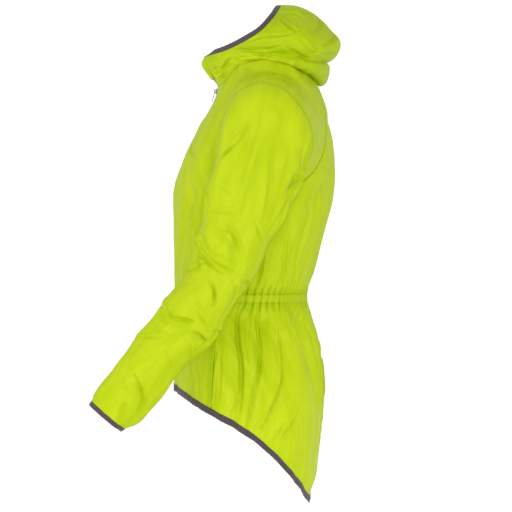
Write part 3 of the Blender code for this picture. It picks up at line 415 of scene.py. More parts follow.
def resampled(points, positions):
    """Points of a line at the given lengths along it."""
    lengths = lengths_along(points)
    return np.stack([np.interp(positions, lengths, points[:, k]) for k in range(3)], axis=-1)


def trimmed(grid, start, end):
    """The grid with the given lengths taken off the two ends of each row."""
    result = np.empty_like(grid)
    for index, row in enumerate(grid):
        lengths = lengths_along(row)
        share = lengths / lengths[-1]
        result[index] = resampled(row, start + share * (lengths[-1] - start - end))
    return result


def unit(vectors):
    return vectors / np.maximum(np.linalg.norm(vectors, axis=-1, keepdims=True), 1e-12)


def hill(values, middle, width):
    """A smooth rise to 1 at the middle."""
    return np.exp(-((values - middle) / width) ** 2)


def smooth_step(value):
    value = np.clip(value, 0, 1)
    return value * value * (3 - 2 * value)


# ---------------------------------------------------------------- the garment's form

HEM_CURVE = smooth_rows(HEM, np.linspace(0, len(HEM) - 1, HEM_POINTS))


def hem_height(y, above_binding):
    """Height of the hem's edge at y, or of the cloth's end above the binding."""
    z = np.interp(y, HEM_CURVE[:, 0], HEM_CURVE[:, 1])
    if above_binding:
        before = np.interp(y - HEM_STRETCH, HEM_CURVE[:, 0], HEM_CURVE[:, 1])
        after = np.interp(y + HEM_STRETCH, HEM_CURVE[:, 0], HEM_CURVE[:, 1])
        slope = np.minimum(np.abs(after - before) / (2 * HEM_STRETCH), HEM_STEEPEST)
        z = z + BINDING_WIDTH * np.hypot(1, slope)
    return z


def arm_rows(table, places, shares):
    """Rows above the underarm, from the middle (share 0) to the arm seam (share 1)."""
    values = smooth_rows(table, places)[:, :, None]
    middle_y, middle_z, seam_x, seam_y, seam_z, reach = (values[:, k] for k in range(6))
    power = 2 / ROUNDNESS
    last_angle = np.arcsin(np.clip(reach, 0, 1) ** (1 / power))
    angle = last_angle * shares
    across = np.sin(angle) ** power / reach
    drop = (1 - np.clip(np.cos(angle), 0, 1) ** power) / (1 - np.clip(np.cos(last_angle), 0, 1) ** power)
    rise = 1 - np.cos(math.pi / 2 * shares)
    return np.stack([seam_x * across, middle_y + (seam_y - middle_y) * drop,
                     middle_z + (seam_z - middle_z) * rise], axis=-1)


def ring_row(ring, shares, front, height_of):
    """A row below the underarm: from the middle of the front, or of the back, to the side seam."""
    power = 2 / ROUNDNESS
    seam = math.acos(((ring.widest_y - ring.seam_y) / (ring.widest_y - ring.front_y)) ** (1 / power))
    middle = 0.0 if front else math.pi
    angle = middle + (seam - middle) * shares
    ahead = angle < math.pi / 2
    depth = np.where(ahead, ring.widest_y - ring.front_y, ring.back_y - ring.widest_y)
    x = ring.half_width * np.clip(np.sin(angle), 0, 1) ** power
    y = ring.widest_y + np.where(ahead, -1, 1) * depth * np.abs(np.cos(angle)) ** power
    return np.stack([x, y, height_of(y)], axis=-1)


def body_rings():
    """The rings below the underarm down to the hem's edge, each with its height at any y."""
    rings = [(ring, lambda y, z=ring.z: np.full_like(y, z)) for ring in BODY_RINGS]
    waist = BODY_RINGS[-1]
    for row in SKIRT:
        ring = BodyRing(0, waist.front_y, row.back_y, row.half_width, row.widest_y, row.seam_y,
                        max(0.0, SKIRT_GATHER - row.fall * SKIRT_GATHER_LOSS))
        rings.append((ring, lambda y, fall=row.fall: waist.z + (hem_height(y, True) - waist.z) * fall))
    rings.append((rings[-1][0], lambda y: hem_height(y, False)))
    return rings


def body_guides(table, shares, front):
    """Guide rows of half a front or back, middle to seam, from the neckline to the hem's edge."""
    arms = arm_rows(table, np.arange(len(table)), shares)
    rings = [ring_row(ring, shares, front, height_of) for ring, height_of in body_rings()]
    return np.concatenate([arms, np.array(rings)])


def row_spacing(arm_count):
    """Spacing of the rows after each guide row: close together at the waist."""
    first, last = (arm_count + guide for guide in WAIST_GUIDES)
    return lambda index: WAIST_ROW_SPACING if first <= index <= last else ROW_SPACING


def near_edges(count, steps, low, high):
    """Shares 0 to 1 in even steps, with extra ones close to the ends that have a seam."""
    shares = list(np.linspace(0, 1, count + 1))
    if low:
        shares += list(steps)
    if high:
        shares += [1 - step for step in steps]
    return np.array(sorted(shares))


def neck_side():
    """The neckline's stretch between the arm seams of the front and the back."""
    return smooth_rows(NECK_SIDE, np.linspace(0, len(NECK_SIDE) - 1, SEAM_POINTS))


def neckline():
    """Points along the neckline from the middle of the front round to the middle of the back."""
    shares = np.linspace(0, 1, SEAM_POINTS)
    front = arm_rows(FRONT_ARM, [0], shares)[0]
    back = arm_rows(BACK_ARM, [0], shares)[0][::-1]
    return np.concatenate([front[:-1], neck_side(), back[1:]])


def arm_seam():
    """The closed line round the arm's top: up the front from underarm to neck and down the back."""
    front_places = np.linspace(len(FRONT_ARM) - 1, 0, ARM_SEAM_FINE * len(FRONT_ARM))
    back_places = np.linspace(0, len(BACK_ARM) - 1, ARM_SEAM_FINE * len(BACK_ARM))
    front = arm_rows(FRONT_ARM, front_places, np.ones(1))[:, 0]
    back = arm_rows(BACK_ARM, back_places, np.ones(1))[:, 0]
    return np.concatenate([front[:-1], neck_side(), back[1:]])


def sleeve_ring(station, angles):
    """The oval of a station: angle 0 is its front, and it runs over the outer side to the back."""
    centre = np.array([(station.outer_x + station.inner_x) / 2, (station.front_y + station.back_y) / 2,
                       (station.front_z + station.back_z) / 2])
    to_back = np.array([0, station.back_y - station.front_y, station.back_z - station.front_z]) / 2
    to_outer = np.array([(station.outer_x - station.inner_x) / 2, 0, station.lift])
    return centre - np.cos(angles)[:, None] * to_back + np.sin(angles)[:, None] * to_outer


def arm_guides(shares):
    """Guide rings of the left arm from the body's seams to the cuff's edge, at shares of the way round."""
    seam = arm_seam()
    top = resampled(seam, shares * lengths_along(seam)[-1])
    angles = 2 * math.pi * shares - math.pi / 2
    rings = [top] + [sleeve_ring(station, angles) for station in SLEEVE] + [sleeve_ring(CUFF_EDGE, angles)]
    return np.array(rings)


def head_places(shares):
    """How far from the body's seams towards the stations the head seam lies."""
    curve = smooth_rows(HEAD, np.linspace(0, len(HEAD) - 1, HEAD_POINTS))
    return np.clip(np.interp(shares, curve[:, 0], curve[:, 1]), 0, None)


def smooth_columns(guides, places):
    """A grid whose columns each have their own places between the guide rows."""
    return np.stack([smooth_rows(guides[:, k], places[:, k]) for k in range(guides.shape[1])], axis=1)


def hood_guides(shares):
    """Guide rows of half the hood, chin to middle of back, from its opening down to the neckline."""
    rows = []
    for row in HOOD:
        chin = (0, row.chin_y, row.chin_z)
        cheek = (row.cheek_x, row.cheek_y, row.cheek_z)
        side = (row.side_x, row.side_y, row.side_z)
        nape = (row.nape_x, row.nape_y, row.nape_z)
        back = (0, row.back_y, row.back_z)
        ring = [(-cheek[0], *cheek[1:]), chin, cheek, side, nape, back, (-nape[0], *nape[1:])]
        points = smooth_rows(ring, 1 + 4 * shares)
        points[shares == 0, 0] = 0
        points[shares == 1, 0] = 0
        rows.append(points)
    edge = neckline()
    edge_shares = np.arctan2(edge[:, 0], NECK_MIDDLE_Y - edge[:, 1]) / math.pi
    neck = np.stack([np.interp(shares, edge_shares, edge[:, k]) for k in range(3)], axis=-1)
    outward = neck - (0, NECK_MIDDLE_Y, 0)
    outward[:, 2] = 0
    outward /= np.linalg.norm(outward, axis=1)[:, None]
    stand = smooth_rows(NECK_STAND, 4 * shares)
    rows.append(neck + outward * stand[:, 1:2] + np.array([0, 0, 1]) * stand[:, 2:3])
    rows.append(neck)
    return np.array(rows)


def lifted_to_roll(grid):
    """The grid with its cloth near the neck raised to lie against the lowered hood's underside."""
    shares = np.linspace(0, 1, ROLL_COLUMNS)
    rows = hood_guides(shares)[ROLL_ROWS]
    reach = np.hypot(rows[..., 0], rows[..., 1] - NECK_MIDDLE_Y)
    flat = grid.reshape(-1, 3).copy()
    share = np.arctan2(np.abs(flat[:, 0]), NECK_MIDDLE_Y - flat[:, 1]) / math.pi
    out = np.hypot(flat[:, 0], flat[:, 1] - NECK_MIDDLE_Y)
    for index in np.nonzero((flat[:, 2] > LIFT_LOWEST) & (share > LIFT_BEGINS))[0]:
        at = share[index] * (len(shares) - 1)
        column = min(int(at), len(shares) - 2)
        reaches = reach[:, column] + (reach[:, column + 1] - reach[:, column]) * (at - column)
        heights = rows[:, column, 2] + (rows[:, column + 1, 2] - rows[:, column, 2]) * (at - column)
        outermost = int(np.argmax(reaches))
        low = np.interp(out[index], reaches[outermost:][::-1], heights[outermost:][::-1])
        lift = min(max(low - ROLL_CLEAR - flat[index, 2], 0), LIFT_MOST)
        beyond = (out[index] - reaches[outermost]) / ROLL_FADE
        fade = 1 - float(smooth_step(beyond))
        fade *= float(smooth_step((share[index] - LIFT_BEGINS) / LIFT_GROWTH))
        flat[index, 2] += lift * fade * float(smooth_step((out[index] - reaches[-1]) / LIFT_NECK))
    return flat.reshape(grid.shape)


# ---------------------------------------------------------------- panels: grids of points with their pushes

class Panel:
    """A grid of points; `grain` holds the lengths across and along the cloth, in mm, and its darkening:
    doubled cloth and painted shade.
    """

    def __init__(self, name, grid, places, closed=False):
        self.name = name
        self.grid = grid
        self.places = places
        self.closed = closed
        across = lengths_along(grid)
        along = lengths_along(grid.transpose(1, 0, 2)).T
        middle = grid.shape[1] // 2
        self.grain = np.stack([across - across[:, middle:middle + 1], along, np.zeros_like(across)], axis=-1)
        self.to_start = across
        self.to_end = across[:, -1:] - across
        self.to_top = along
        self.to_bottom = along[-1:] - along

    def normals(self):
        down = np.gradient(self.grid, axis=0)
        if self.closed:
            ring = np.concatenate([self.grid[:, -2:-1], self.grid, self.grid[:, 1:2]], axis=1)
            right = (ring[:, 2:] - ring[:, :-2]) / 2
        else:
            right = np.gradient(self.grid, axis=1)
        return unit(np.cross(down, right))


def mirrored(grid):
    return (grid * (-1, 1, 1))[:, ::-1]


def both_halves(grid):
    """A half from the middle to the seam becomes the whole, from the left seam to the right one."""
    left = grid[:, ::-1]
    right = grid * (-1, 1, 1)
    return np.concatenate([left, right[:, 1:]], axis=1)


def fold_push(points, normals, fold):
    """How far one fold pushes each point of a grid along its normal."""
    facing = np.clip(normals @ np.array(VIEW_DIRECTION[fold.view], float), 0, None)
    across = points[..., 1] if fold.view in ("left", "right") else points[..., 0]
    flat = np.stack([across, points[..., 2]], axis=-1)
    last = len(fold.places) - 1
    line = smooth_rows(fold.places, np.linspace(0, last, FOLD_FINE * last + 1))
    far = fold.width * FOLD_REACH * FOLD_FAR
    push = np.zeros(points.shape[:-1])
    chosen = (facing > 0) & np.all((flat > line.min(0) - far) & (flat < line.max(0) + far), axis=-1)
    flat = flat[chosen]
    if not len(flat):
        return push
    nearest = np.full(len(flat), 1e9)
    side = np.zeros(len(flat))
    way = np.zeros(len(flat))
    lengths = lengths_along(line)
    for index in range(len(line) - 1):
        step = line[index + 1] - line[index]
        offset = flat - line[index]
        share = np.clip(offset @ step / (step @ step), 0, 1)
        distance = np.linalg.norm(offset - share[:, None] * step, axis=1)
        closer = distance < nearest
        nearest[closer] = distance[closer]
        side[closer] = np.sign(step[0] * offset[closer, 1] - step[1] * offset[closer, 0])
        way[closer] = (lengths[index] + share[closer] * (lengths[index + 1] - lengths[index])) / lengths[-1]
    reach = fold.width * FOLD_REACH
    profile = np.cos(math.pi / 2 * np.minimum(nearest / reach, 1)) ** 2
    if fold.lip:
        beside = np.abs(nearest * side * np.sign(fold.lip) - LIP_PLACE * reach) / (LIP_REACH * reach)
        profile -= abs(fold.lip) * np.cos(math.pi / 2 * np.minimum(beside, 1)) ** 2
    if fold.taper:
        profile *= np.sin(math.pi * np.clip(way, 0, 1)) ** TAPER_POWER
    push[chosen] = fold.depth * profile * np.minimum(facing[chosen] * FACING_GAIN, 1)
    return push


def drape(panel, across, along, depth, seed):
    """Soft uneven waves of the given lengths across and along the cloth."""
    points = panel.grain[..., :2] / (across, along)
    values = np.empty(points.shape[:-1])
    for row in range(points.shape[0]):
        for column in range(points.shape[1]):
            values[row, column] = noise.noise(Vector((points[row, column, 0], points[row, column, 1], seed)))
    return depth * values


def waves_of(panel, kind):
    """The broad and the fine waves of a panel of one kind."""
    return [drape(panel, *wave, SEEDS[panel.name] + k) for k, wave in enumerate(WAVES[kind])]


def gather_push(panel, strengths):
    """The waist's gathers: narrow troughs between round pleats, and the casing with its two stitched lines.

    The second result is painted shade in the troughs next to the casing and on its two stitched lines.
    """
    columns = panel.grid.shape[1]
    share = np.linspace(0, 1, columns)
    drift = sum(size * np.sin(pace * share + start) for pace, start, size in GATHER_DRIFT)
    phase = 2 * math.pi * GATHERS * share + GATHER_UNEVEN * drift
    number = np.floor(phase / (2 * math.pi) + 0.5)
    depth = GATHER_DEPTH * (1 + 0.3 * np.sin(number * 2.4 + 0.5) + 0.15 * np.sin(number * 5.1))
    wave = 2 * np.abs(np.cos(phase / 2)) ** GATHER_ROUND - GATHER_MIDDLE
    fine = np.cos(FINE_GATHERS * phase + 1.0)
    fade = np.minimum(np.minimum(share, 1 - share) / GATHER_SEAM_FADE, 1)
    z = panel.grid[:, :1, 2]
    inside = smooth_step((CASING_TOP - z) / CASING_EDGE) * smooth_step((z - CASING_LOW) / CASING_EDGE)
    close = hill(z, (CASING_TOP + CASING_LOW) / 2, FINE_REACH)
    push = strengths[:, None] * depth * (wave + FINE_DEPTH * fine * close) * (1 - CASING_HELD * inside)
    lines = hill(z, CASING_TOP, CASING_LINE_WIDTH) + hill(z, CASING_LOW, CASING_LINE_WIDTH)
    # Painted shade in the troughs beside the casing and along its stitched lines
    beside = hill(z, CASING_TOP + 3, 5) + hill(z, CASING_LOW - 4, 7)
    trough = smooth_step((0.1 - wave) / 1.1) * (0.6 + 0.4 * np.sin(number * 3.7))
    trough = trough + 0.8 * smooth_step(-1.3 * fine)
    shade = GATHER_SHADE * trough * beside + CASING_SHADE * lines * (0.3 + 0.7 * trough)
    return (push + CASING_RISE * inside - CASING_LINE_DEPTH * lines) * fade, shade * fade


def pucker(panel, distance, ruffle, seed):
    """Small waves where cloth is sewn to a stretched tape, fading away from it."""
    across = panel.grain[..., 0]
    wave = np.sin(2 * math.pi * across / ruffle.pitch + 1.4 * np.sin(across / (3.1 * ruffle.pitch) + seed))
    uneven = 0.7 + 0.3 * np.sin(across / (1.9 * ruffle.pitch) + 2 * seed)
    return ruffle.depth * wave * uneven * hill(distance, 0, ruffle.reach)


def groove(distance):
    return -SEAM_GROOVE_DEPTH * hill(distance, 0, SEAM_GROOVE_WIDTH)


def finish_panel(panel, waves, seam_distances, puckers=(), shade=0.0, shown=1.0):
    """Push the folds, waves and puckers into a panel, fading them towards its seams.

    `shown` is how much of a seam's groove and of its darker allowance can be seen. The cloth's darkening also
    takes in the darker doubled cloth and the painted shade of the table after the creases, and `shade`:
    painted shade in the waist's gathers and the hood's darker upper part.
    """
    normals = panel.normals()
    push = np.zeros(panel.grid.shape[:-1])
    for fold in FOLDS + CREASES:
        if fold.piece == panel.name:
            push += fold_push(panel.grid, normals, fold)
    for wave in waves:
        push += wave
    nearest = np.minimum.reduce(seam_distances)
    doubled_and_shade = shown * ALLOWANCE_SHADE * (1 - smooth_step((nearest - ALLOWANCE_WIDTH) / ALLOWANCE_FADE))
    # painted shade in creases and under the arm, and darker doubled cloth
    for area in DOUBLED_AND_SHADE:
        if area.piece == panel.name:
            doubled_and_shade += fold_push(panel.grid, normals, area)
    panel.grain[..., 2] = np.clip(doubled_and_shade + shade, 0, 1)
    push *= smooth_step(nearest / SEAM_FADE)
    for wave in puckers:
        push += wave
    push += shown * groove(nearest)
    panel.grid = panel.grid + normals * push[..., None]


# Smaller and sharper creases, in the same form as the folds. Those of the left side are as in the photo, and
# the place of a crease in its list sets how its copy on the right side differs.
LEFT_CREASES = folds_of([
    ("sleeve_left", "left", [
        (3.2, -7, 0.6, 1, [(-115, -268), (-115, -281), (-103, -294), (-88, -307), (-72, -317), (-62, -322)]),
        (6, -3.5, 0, 1, [(-113, -287), (-111, -304), (-108, -320)]),
        (2.6, -6, -0.6, 1, [(-88, -334), (-81, -345), (-78, -362), (-80, -380)]),
        (3.0, -6, 0.5, 1, [(-162, -365), (-159, -385), (-148, -396), (-129, -400), (-110, -405)]),
        (2.6, -6.5, -0.6, 1, [(-119, -421), (-103, -426), (-93, -436), (-98, -446), (-110, -456)]),
        (3.0, -6, 0.4, 1, [(-67, -413), (-75, -428), (-83, -441)]),
        (2.4, -4.5, 0.6, 1, [(-216, -489), (-204, -509), (-198, -529), (-196, -550)]),
        (2.2, -3, 0.5, 1, [(-209, -426), (-186, -429), (-159, -428)]),
        (2.2, -3, 0.5, 1, [(-179, -415), (-166, -421), (-151, -429)]),
        (2.6, -3.5, 0.5, 1, [(-110, -383), (-98, -400), (-85, -420)]),
        (2.6, -2.5, 0.5, 1, [(-116, -362), (-105, -378), (-91, -386)]),
        (6, -4, 0, 1, [(-223, -536), (-233, -553), (-238, -573)]),
        (2.4, -5, -0.5, 1, [(-100, -164), (-97, -181), (-93, -196), (-97, -213)]),
        (3, -2.5, 0.6, 1, [(-98, -216), (-77, -220), (-52, -221), (-37, -231)]),
        (3, -2, 0.6, 1, [(-77, -174), (-60, -183), (-45, -198)]),
        (2.6, -5, 0.6, 1, [(-68, -248), (-55, -253), (-47, -261), (-42, -277), (-37, -291)]),
        (7, -3, 0, 1, [(-49, -268), (-50, -291), (-52, -311)]),
        (7, 5, 0, 1, [(5, -38), (0, -81), (-12, -120), (-25, -161), (-35, -201), (-44, -241)]),
        (4, 3.5, 0, 1, [(9, -118), (6, -168), (1, -208), (-3, -240)]),
        (3, -3, 0.6, 1, [(-14, -234), (-6, -253), (3, -274)]),
        (2.4, -4, -0.6, 1, [(-14, -61), (-27, -81), (-39, -99), (-57, -116), (-67, -130)]),
        (3.4, -4, 0, 1, [(-54, -108), (-62, -123)]),
        (3.4, -6, 0.4, 1, [(84, -92), (82, -116), (76, -139), (71, -164)]),
        (2.4, -4, 0.4, 1, [(89, -106), (86, -134)]),
        (4, -6, 0.3, 1, [(59, -154), (54, -174), (46, -198)]),
    ]),
    ("shoulder_left", "left", [
        (3, -2.5, 0.4, 1, [(-18, 6), (-16, -4)]),
        (4, -2.5, 0.4, 1, [(40, 22), (42, 6), (42, -10)]),
        (3, -2, 0.4, 1, [(10, 24), (13, 10), (12, 2)]),
    ]),
    ("sleeve_left", "left", [
        (3, -2.5, 0.5, 1, [(-161, -453), (-153, -469), (-148, -486)]),
        (3, -2.5, 0.5, 1, [(-236, -506), (-226, -516), (-218, -518)]),
        (4, -2.5, 0.5, 1, [(-50, -327), (-43, -350), (-44, -377)]),
        (3, -2.5, 0.5, 1, [(-136, -416), (-120, -441), (-116, -466)]),
    ]),
    ("front_left", "left", [
        (2.4, -4.5, 0.6, 1, [(-141, -177), (-134, -200), (-127, -220), (-116, -250), (-107, -270)]),
        (3, -2.5, 0.5, 1, [(-144, -194), (-136, -239), (-128, -284), (-125, -318)]),
        (3, -2.5, 0.4, 1, [(-89, -46), (-90, -88), (-94, -131), (-104, -168)]),
        (3, -2.5, 0.4, 1, [(-77, -54), (-82, -88), (-82, -131)]),
        (2.4, -3, 0.4, 1, [(-151, -342), (-141, -349), (-128, -350)]),
        (2.2, -2, 0.3, 1, [(-127, -446), (-123, -489), (-118, -526)]),
        (2.2, -2, 0.3, 1, [(-113, -454), (-111, -495), (-107, -532)]),
    ]),
    ("back", "left", [
        (2.6, -5, 0.5, 1, [(-78, -452), (-85, -489), (-89, -536)]),
        (2.2, -2.5, 0.4, 1, [(-70, -436), (-71, -489), (-73, -544)]),
        (3.4, -9, 0.5, 1, [(-36, -372), (-43, -402), (-41, -439), (-36, -472), (-36, -516), (-41, -566)]),
        (2.2, -4, -0.4, 1, [(-41, -519), (-47, -546), (-52, -563)]),
        (3.2, -8, -0.5, 1, [(-5, -379), (-7, -409), (-2, -446), (-4, -483), (-14, -526), (-26, -589)]),
        (5, -3, 0, 1, [(-12, -429), (-10, -456), (-5, -486)]),
        (2.8, -6, -0.5, 1, [(28, -396), (33, -439), (37, -472), (35, -509), (18, -549), (-9, -603)]),
        (2.8, -5.5, 0.5, 1, [(64, -379), (69, -409), (72, -442), (79, -472), (82, -519)]),
        (2.6, -3, -0.5, 1, [(68, -539), (58, -568), (45, -588), (26, -608)]),
        (2.4, -2.5, -0.5, 1, [(43, -573), (25, -596), (8, -613)]),
        (2.4, -2.5, 0.5, 1, [(-21, -379), (-22, -419), (-21, -456)]),
        (2.4, -2.5, 0.5, 1, [(47, -379), (50, -419), (55, -462)]),
        (2.6, -2, 0.5, 1, [(43, -623), (63, -630), (82, -628)]),
        (2.6, -2, 0.5, 1, [(50, -643), (67, -648), (82, -645)]),
        (4, -3, 0.6, 1, [(71, -192), (83, -219), (73, -253), (61, -284)]),
        (4, -2.5, 0.5, 1, [(102, -171), (93, -207), (83, -240)]),
        (3, -3, 0.4, 1, [(47, -236), (40, -277), (37, -318), (35, -348)]),
        (3, -2.5, 0.4, 1, [(68, -267), (59, -304), (56, -345)]),
        (3, -5, 0.4, 1, [(3, -291), (-2, -318), (-9, -345)]),
    ]),
    ("hood_left", "left", [
        (2.2, -5.5, 0.6, 1, [(29, 118), (39, 108), (50, 99), (60, 92)]),
        (2.4, -3.5, -0.6, 1, [(-28, 75), (0, 82), (31, 84), (51, 89), (72, 99)]),
        (2.6, -4, -0.6, 1, [(-45, 68), (-21, 63), (7, 60), (34, 67)]),
        (2.6, -4, 0.5, 1, [(38, 65), (60, 53), (86, 42), (111, 41)]),
        (2.2, -3, -0.5, 1, [(-48, 56), (-24, 55), (2, 53)]),
        (2.6, -4.5, -0.6, 1, [(-57, 46), (-33, 41), (0, 41), (24, 34)]),
        (2.2, -2.5, 0.5, 1, [(31, 128), (58, 125), (80, 116)]),
        (3, -3, 0.4, 1, [(67, 80), (79, 63), (87, 48)]),
        (3, -2.5, 0.4, 1, [(110, 70), (96, 60), (87, 48)]),
        (2.4, -4.5, 0.5, 1, [(-55, 48), (-65, 36), (-79, 20)]),
        (2.2, -3.8, 0.5, 1, [(-38, 24), (-57, 12), (-74, 0)]),
        (2.0, -4, 0.4, 1, [(-62, 20), (-81, 13)]),
        (2.6, -2.5, 0.4, 0, [(-16, 39), (-14, 18), (-17, 1)]),
        (2.6, -2.8, 0.4, 0, [(10, 39), (15, 18), (10, -2)]),
        (2.6, -2.2, 0.4, 0, [(43, 32), (43, 15), (39, -2)]),
        (2.2, -2, 0.4, 0, [(-36, 36), (-33, 15), (-36, -2)]),
    ]),
])
OTHER_CREASES = folds_of([
    ("front_left", "front", [
        (4, -3, 0.5, 1, [(128, -176), (112, -214), (86, -262), (62, -304)]),
        (3, -2.5, -0.5, 1, [(24, -60), (52, -96), (96, -118), (132, -126)]),
        (3, -2.5, 0.5, 1, [(18, -150), (30, -200), (28, -262), (36, -310)]),
        (3, -3, 0.5, 1, [(104, -330), (88, -362), (82, -410), (90, -470)]),
        (3, -2, -0.5, 1, [(40, -396), (34, -440), (42, -490)]),
    ]),
    ("front_right", "front", [
        (4, -3, 0.5, 1, [(-130, -170), (-118, -206), (-92, -250), (-72, -312)]),
        (3, -2.5, -0.5, 1, [(-20, -66), (-58, -104), (-92, -116), (-136, -132)]),
        (3, -2.5, 0.5, 1, [(-22, -168), (-34, -216), (-30, -270), (-24, -330)]),
        (3, -3, 0.5, 1, [(-100, -344), (-92, -386), (-86, -430), (-98, -482)]),
        (3, -2, -0.5, 1, [(-48, -380), (-38, -436), (-40, -484)]),
    ]),
    ("back", "back", [
        (3.4, -8, 0.5, 1, [(-98, -376), (-104, -410), (-96, -460), (-88, -520), (-70, -578)]),
        (3.0, -7, -0.5, 1, [(-46, -376), (-50, -412), (-42, -470), (-46, -540), (-38, -610)]),
        (3.4, -8, 0.5, 1, [(-8, -378), (-4, -430), (-12, -500), (-6, -590), (-10, -650)]),
        (3.0, -6, 0.5, 1, [(40, -376), (46, -420), (38, -480), (44, -560), (34, -640)]),
        (3.4, -8, -0.5, 1, [(76, -378), (84, -424), (76, -486), (70, -548)]),
        (2.8, -6, 0.5, 1, [(120, -380), (128, -420), (122, -470), (110, -530)]),
        (5, -4, 0.5, 1, [(-104, -150), (-88, -200), (-60, -262), (-52, -330)]),
        (5, -4, 0.5, 1, [(110, -158), (96, -212), (66, -270), (58, -336)]),
        (4, -3, -0.5, 1, [(-30, -120), (-22, -190), (-26, -270), (-18, -340)]),
        (4, -3, 0.5, 1, [(34, -90), (24, -168), (30, -250), (22, -344)]),
    ]),
    ("sleeve_left", "front", [
        (3, -5, 0.6, 1, [(212, -232), (236, -262), (268, -284)]),
        (3, -5, -0.6, 1, [(284, -300), (256, -322), (226, -326)]),
        (3, -4, 0.6, 1, [(214, -350), (244, -368), (280, -392)]),
        (2.6, -3, 0.5, 1, [(240, -420), (252, -456), (256, -500)]),
        (4, -3.5, 0.5, 1, [(180, -96), (216, -140), (236, -200)]),
    ]),
    ("sleeve_left", "back", [
        (4, -5, 0.6, 1, [(190, -128), (226, -170), (252, -226), (262, -280)]),
        (3, -4, -0.6, 1, [(228, -150), (246, -200), (240, -260), (250, -320)]),
        (3, -5, 0.6, 1, [(214, -330), (244, -342), (280, -336)]),
        (2.6, -4, 0.6, 1, [(222, -402), (250, -420), (276, -418)]),
        (2.6, -3, 0.5, 1, [(240, -470), (248, -500), (244, -540)]),
    ]),
    ("hood_left", "back", [
        (3, -4, 0.5, 1, [(10, 128), (34, 112), (70, 96), (92, 88)]),
        (3, -3.5, -0.5, 1, [(6, 96), (40, 84), (72, 72), (96, 66)]),
        (2.6, -3, 0.5, 1, [(20, 60), (52, 54), (80, 56)]),
    ]),
    ("hood_left", "front", [
        (3, -3, 0.5, 1, [(12, 36), (34, 46), (58, 52)]),
        (2.6, -3, -0.5, 1, [(10, 20), (30, 30), (52, 32)]),
    ]),
])
MIRRORED_VIEW = {"left": "right", "right": "left", "front": "front", "back": "back"}
RIGHT_DRIFT = 5.0


def right_hand(crease, index):
    """A crease of the right side, like the left one but a little moved, turned and weaker or stronger."""
    sign = -1 if crease.view in ("front", "back") else 1
    places = []
    for k, (across, height) in enumerate(crease.places):
        places.append((sign * across + RIGHT_DRIFT * math.sin(2.1 * index + 0.6 * k),
                       height + RIGHT_DRIFT * math.cos(1.7 * index - 0.5 * k)))
    size = 1 + 0.2 * math.sin(3.3 * index)
    return crease._replace(piece=crease.piece.replace("_left", "_right"), view=MIRRORED_VIEW[crease.view],
                           depth=crease.depth * size, lip=sign * crease.lip, places=places)


CREASES = LEFT_CREASES + OTHER_CREASES
CREASES += [right_hand(crease, index) for index, crease in enumerate(LEFT_CREASES)]
CREASES += [right_hand(crease, index) for index, crease in enumerate(OTHER_CREASES)
            if crease.piece.endswith("_left") and crease.piece != "front_left"]

# Where cloth lies double and shows darker, and painted shade: in creases, under the arm, and where the sleeve
# shadows the back and the front. They are in the same form; the depth is the share of the darkening.
DOUBLED_AND_SHADE = folds_of([
    # painted shade in the hood's creases and in the throat's creases
    ("hood_left", "left", [
        (3.5, 0.5, 0, 1, [(29, 119), (39, 109), (50, 100), (58, 93)]),
        (3, 0.3, 0, 1, [(-54, 50), (-65, 37), (-79, 21)]),
        (3, 0.3, 0, 1, [(-38, 25), (-57, 13), (-74, 1)]),
    ]),
    ("shoulder_left", "left", [
        (11, 0.5, 0, 0, [(-28, 20), (-10, 12)]),
        (5, 0.35, 0, 0, [(40, 22), (42, 6), (42, -8)]),
    ]),
    # darker where the hood lies double
    ("hood_left", "left", [
        (8, 0.35, 0, 0, [(-44, 62), (0, 64), (44, 60), (74, 52)]),
    ]),
    # painted shade in the sleeve's creases and behind the arm
    ("sleeve_left", "left", [
        (5, 0.5, 0, 1, [(-113, -270), (-111, -300), (-106, -322)]),
        (6, 0.4, 0, 1, [(-49, -268), (-50, -291), (-52, -311)]),
        (4, 0.6, 0, 1, [(-97, -160), (-96, -185), (-97, -205)]),
        (6, 0.3, 0, 1, [(12, -60), (8, -90), (-2, -120), (-14, -161), (-26, -201)]),
        (4.6, 1.0, 0, 1, [(86, -92), (83, -118), (79, -142), (73, -170)]),
        (7, 0.9, 0, 1, [(68, -156), (57, -172), (44, -188)]),
        (4, 0.8, 0, 1, [(-70, -134), (-60, -122), (-50, -108)]),
    ]),
    # painted shadow under the arm, between the sleeve and the back
    ("back", "left", [
        (6, 1.0, 0, 1, [(68, -158), (58, -180), (50, -200)]),
    ]),
    ("sleeve_left", "left", [
        (6, 0.5, 0, 1, [(-223, -536), (-233, -553), (-238, -573)]),
    ]),
    # painted shadow where the sleeve's front edge parts from the front
    ("front_left", "left", [
        (5, 0.4, 0, 1, [(-84, -110), (-84, -140), (-90, -165)]),
    ]),
    # painted shadow of the sleeve along its back edge, and painted shade in a crease of the skirt
    ("back", "left", [
        (9, 1.0, 0, 1, [(60, -170), (34, -210), (14, -250), (-4, -290), (-18, -325)]),
        (5, 0.5, 0, 1, [(-12, -425), (-10, -456), (-5, -488)]),
    ]),
])
DOUBLED_AND_SHADE += [right_hand(area, index) for index, area in enumerate(DOUBLED_AND_SHADE)]


# ---------------------------------------------------------------- materials

NYLON_COLOUR = (0.50, 0.617, 0.002)
NYLON_DEEP = (0.46, 0.584, 0.001)
NYLON_PALE = (0.53, 0.64, 0.008)
# The darker colour of doubled cloth and of painted shade in creases, gathers and under the arm
NYLON_DOUBLED_AND_SHADED = (0.36, 0.505, 0.0)
NYLON_ROUGHNESS = 0.5
NYLON_SHINE = 0.14
NYLON_THROUGH = 0.28
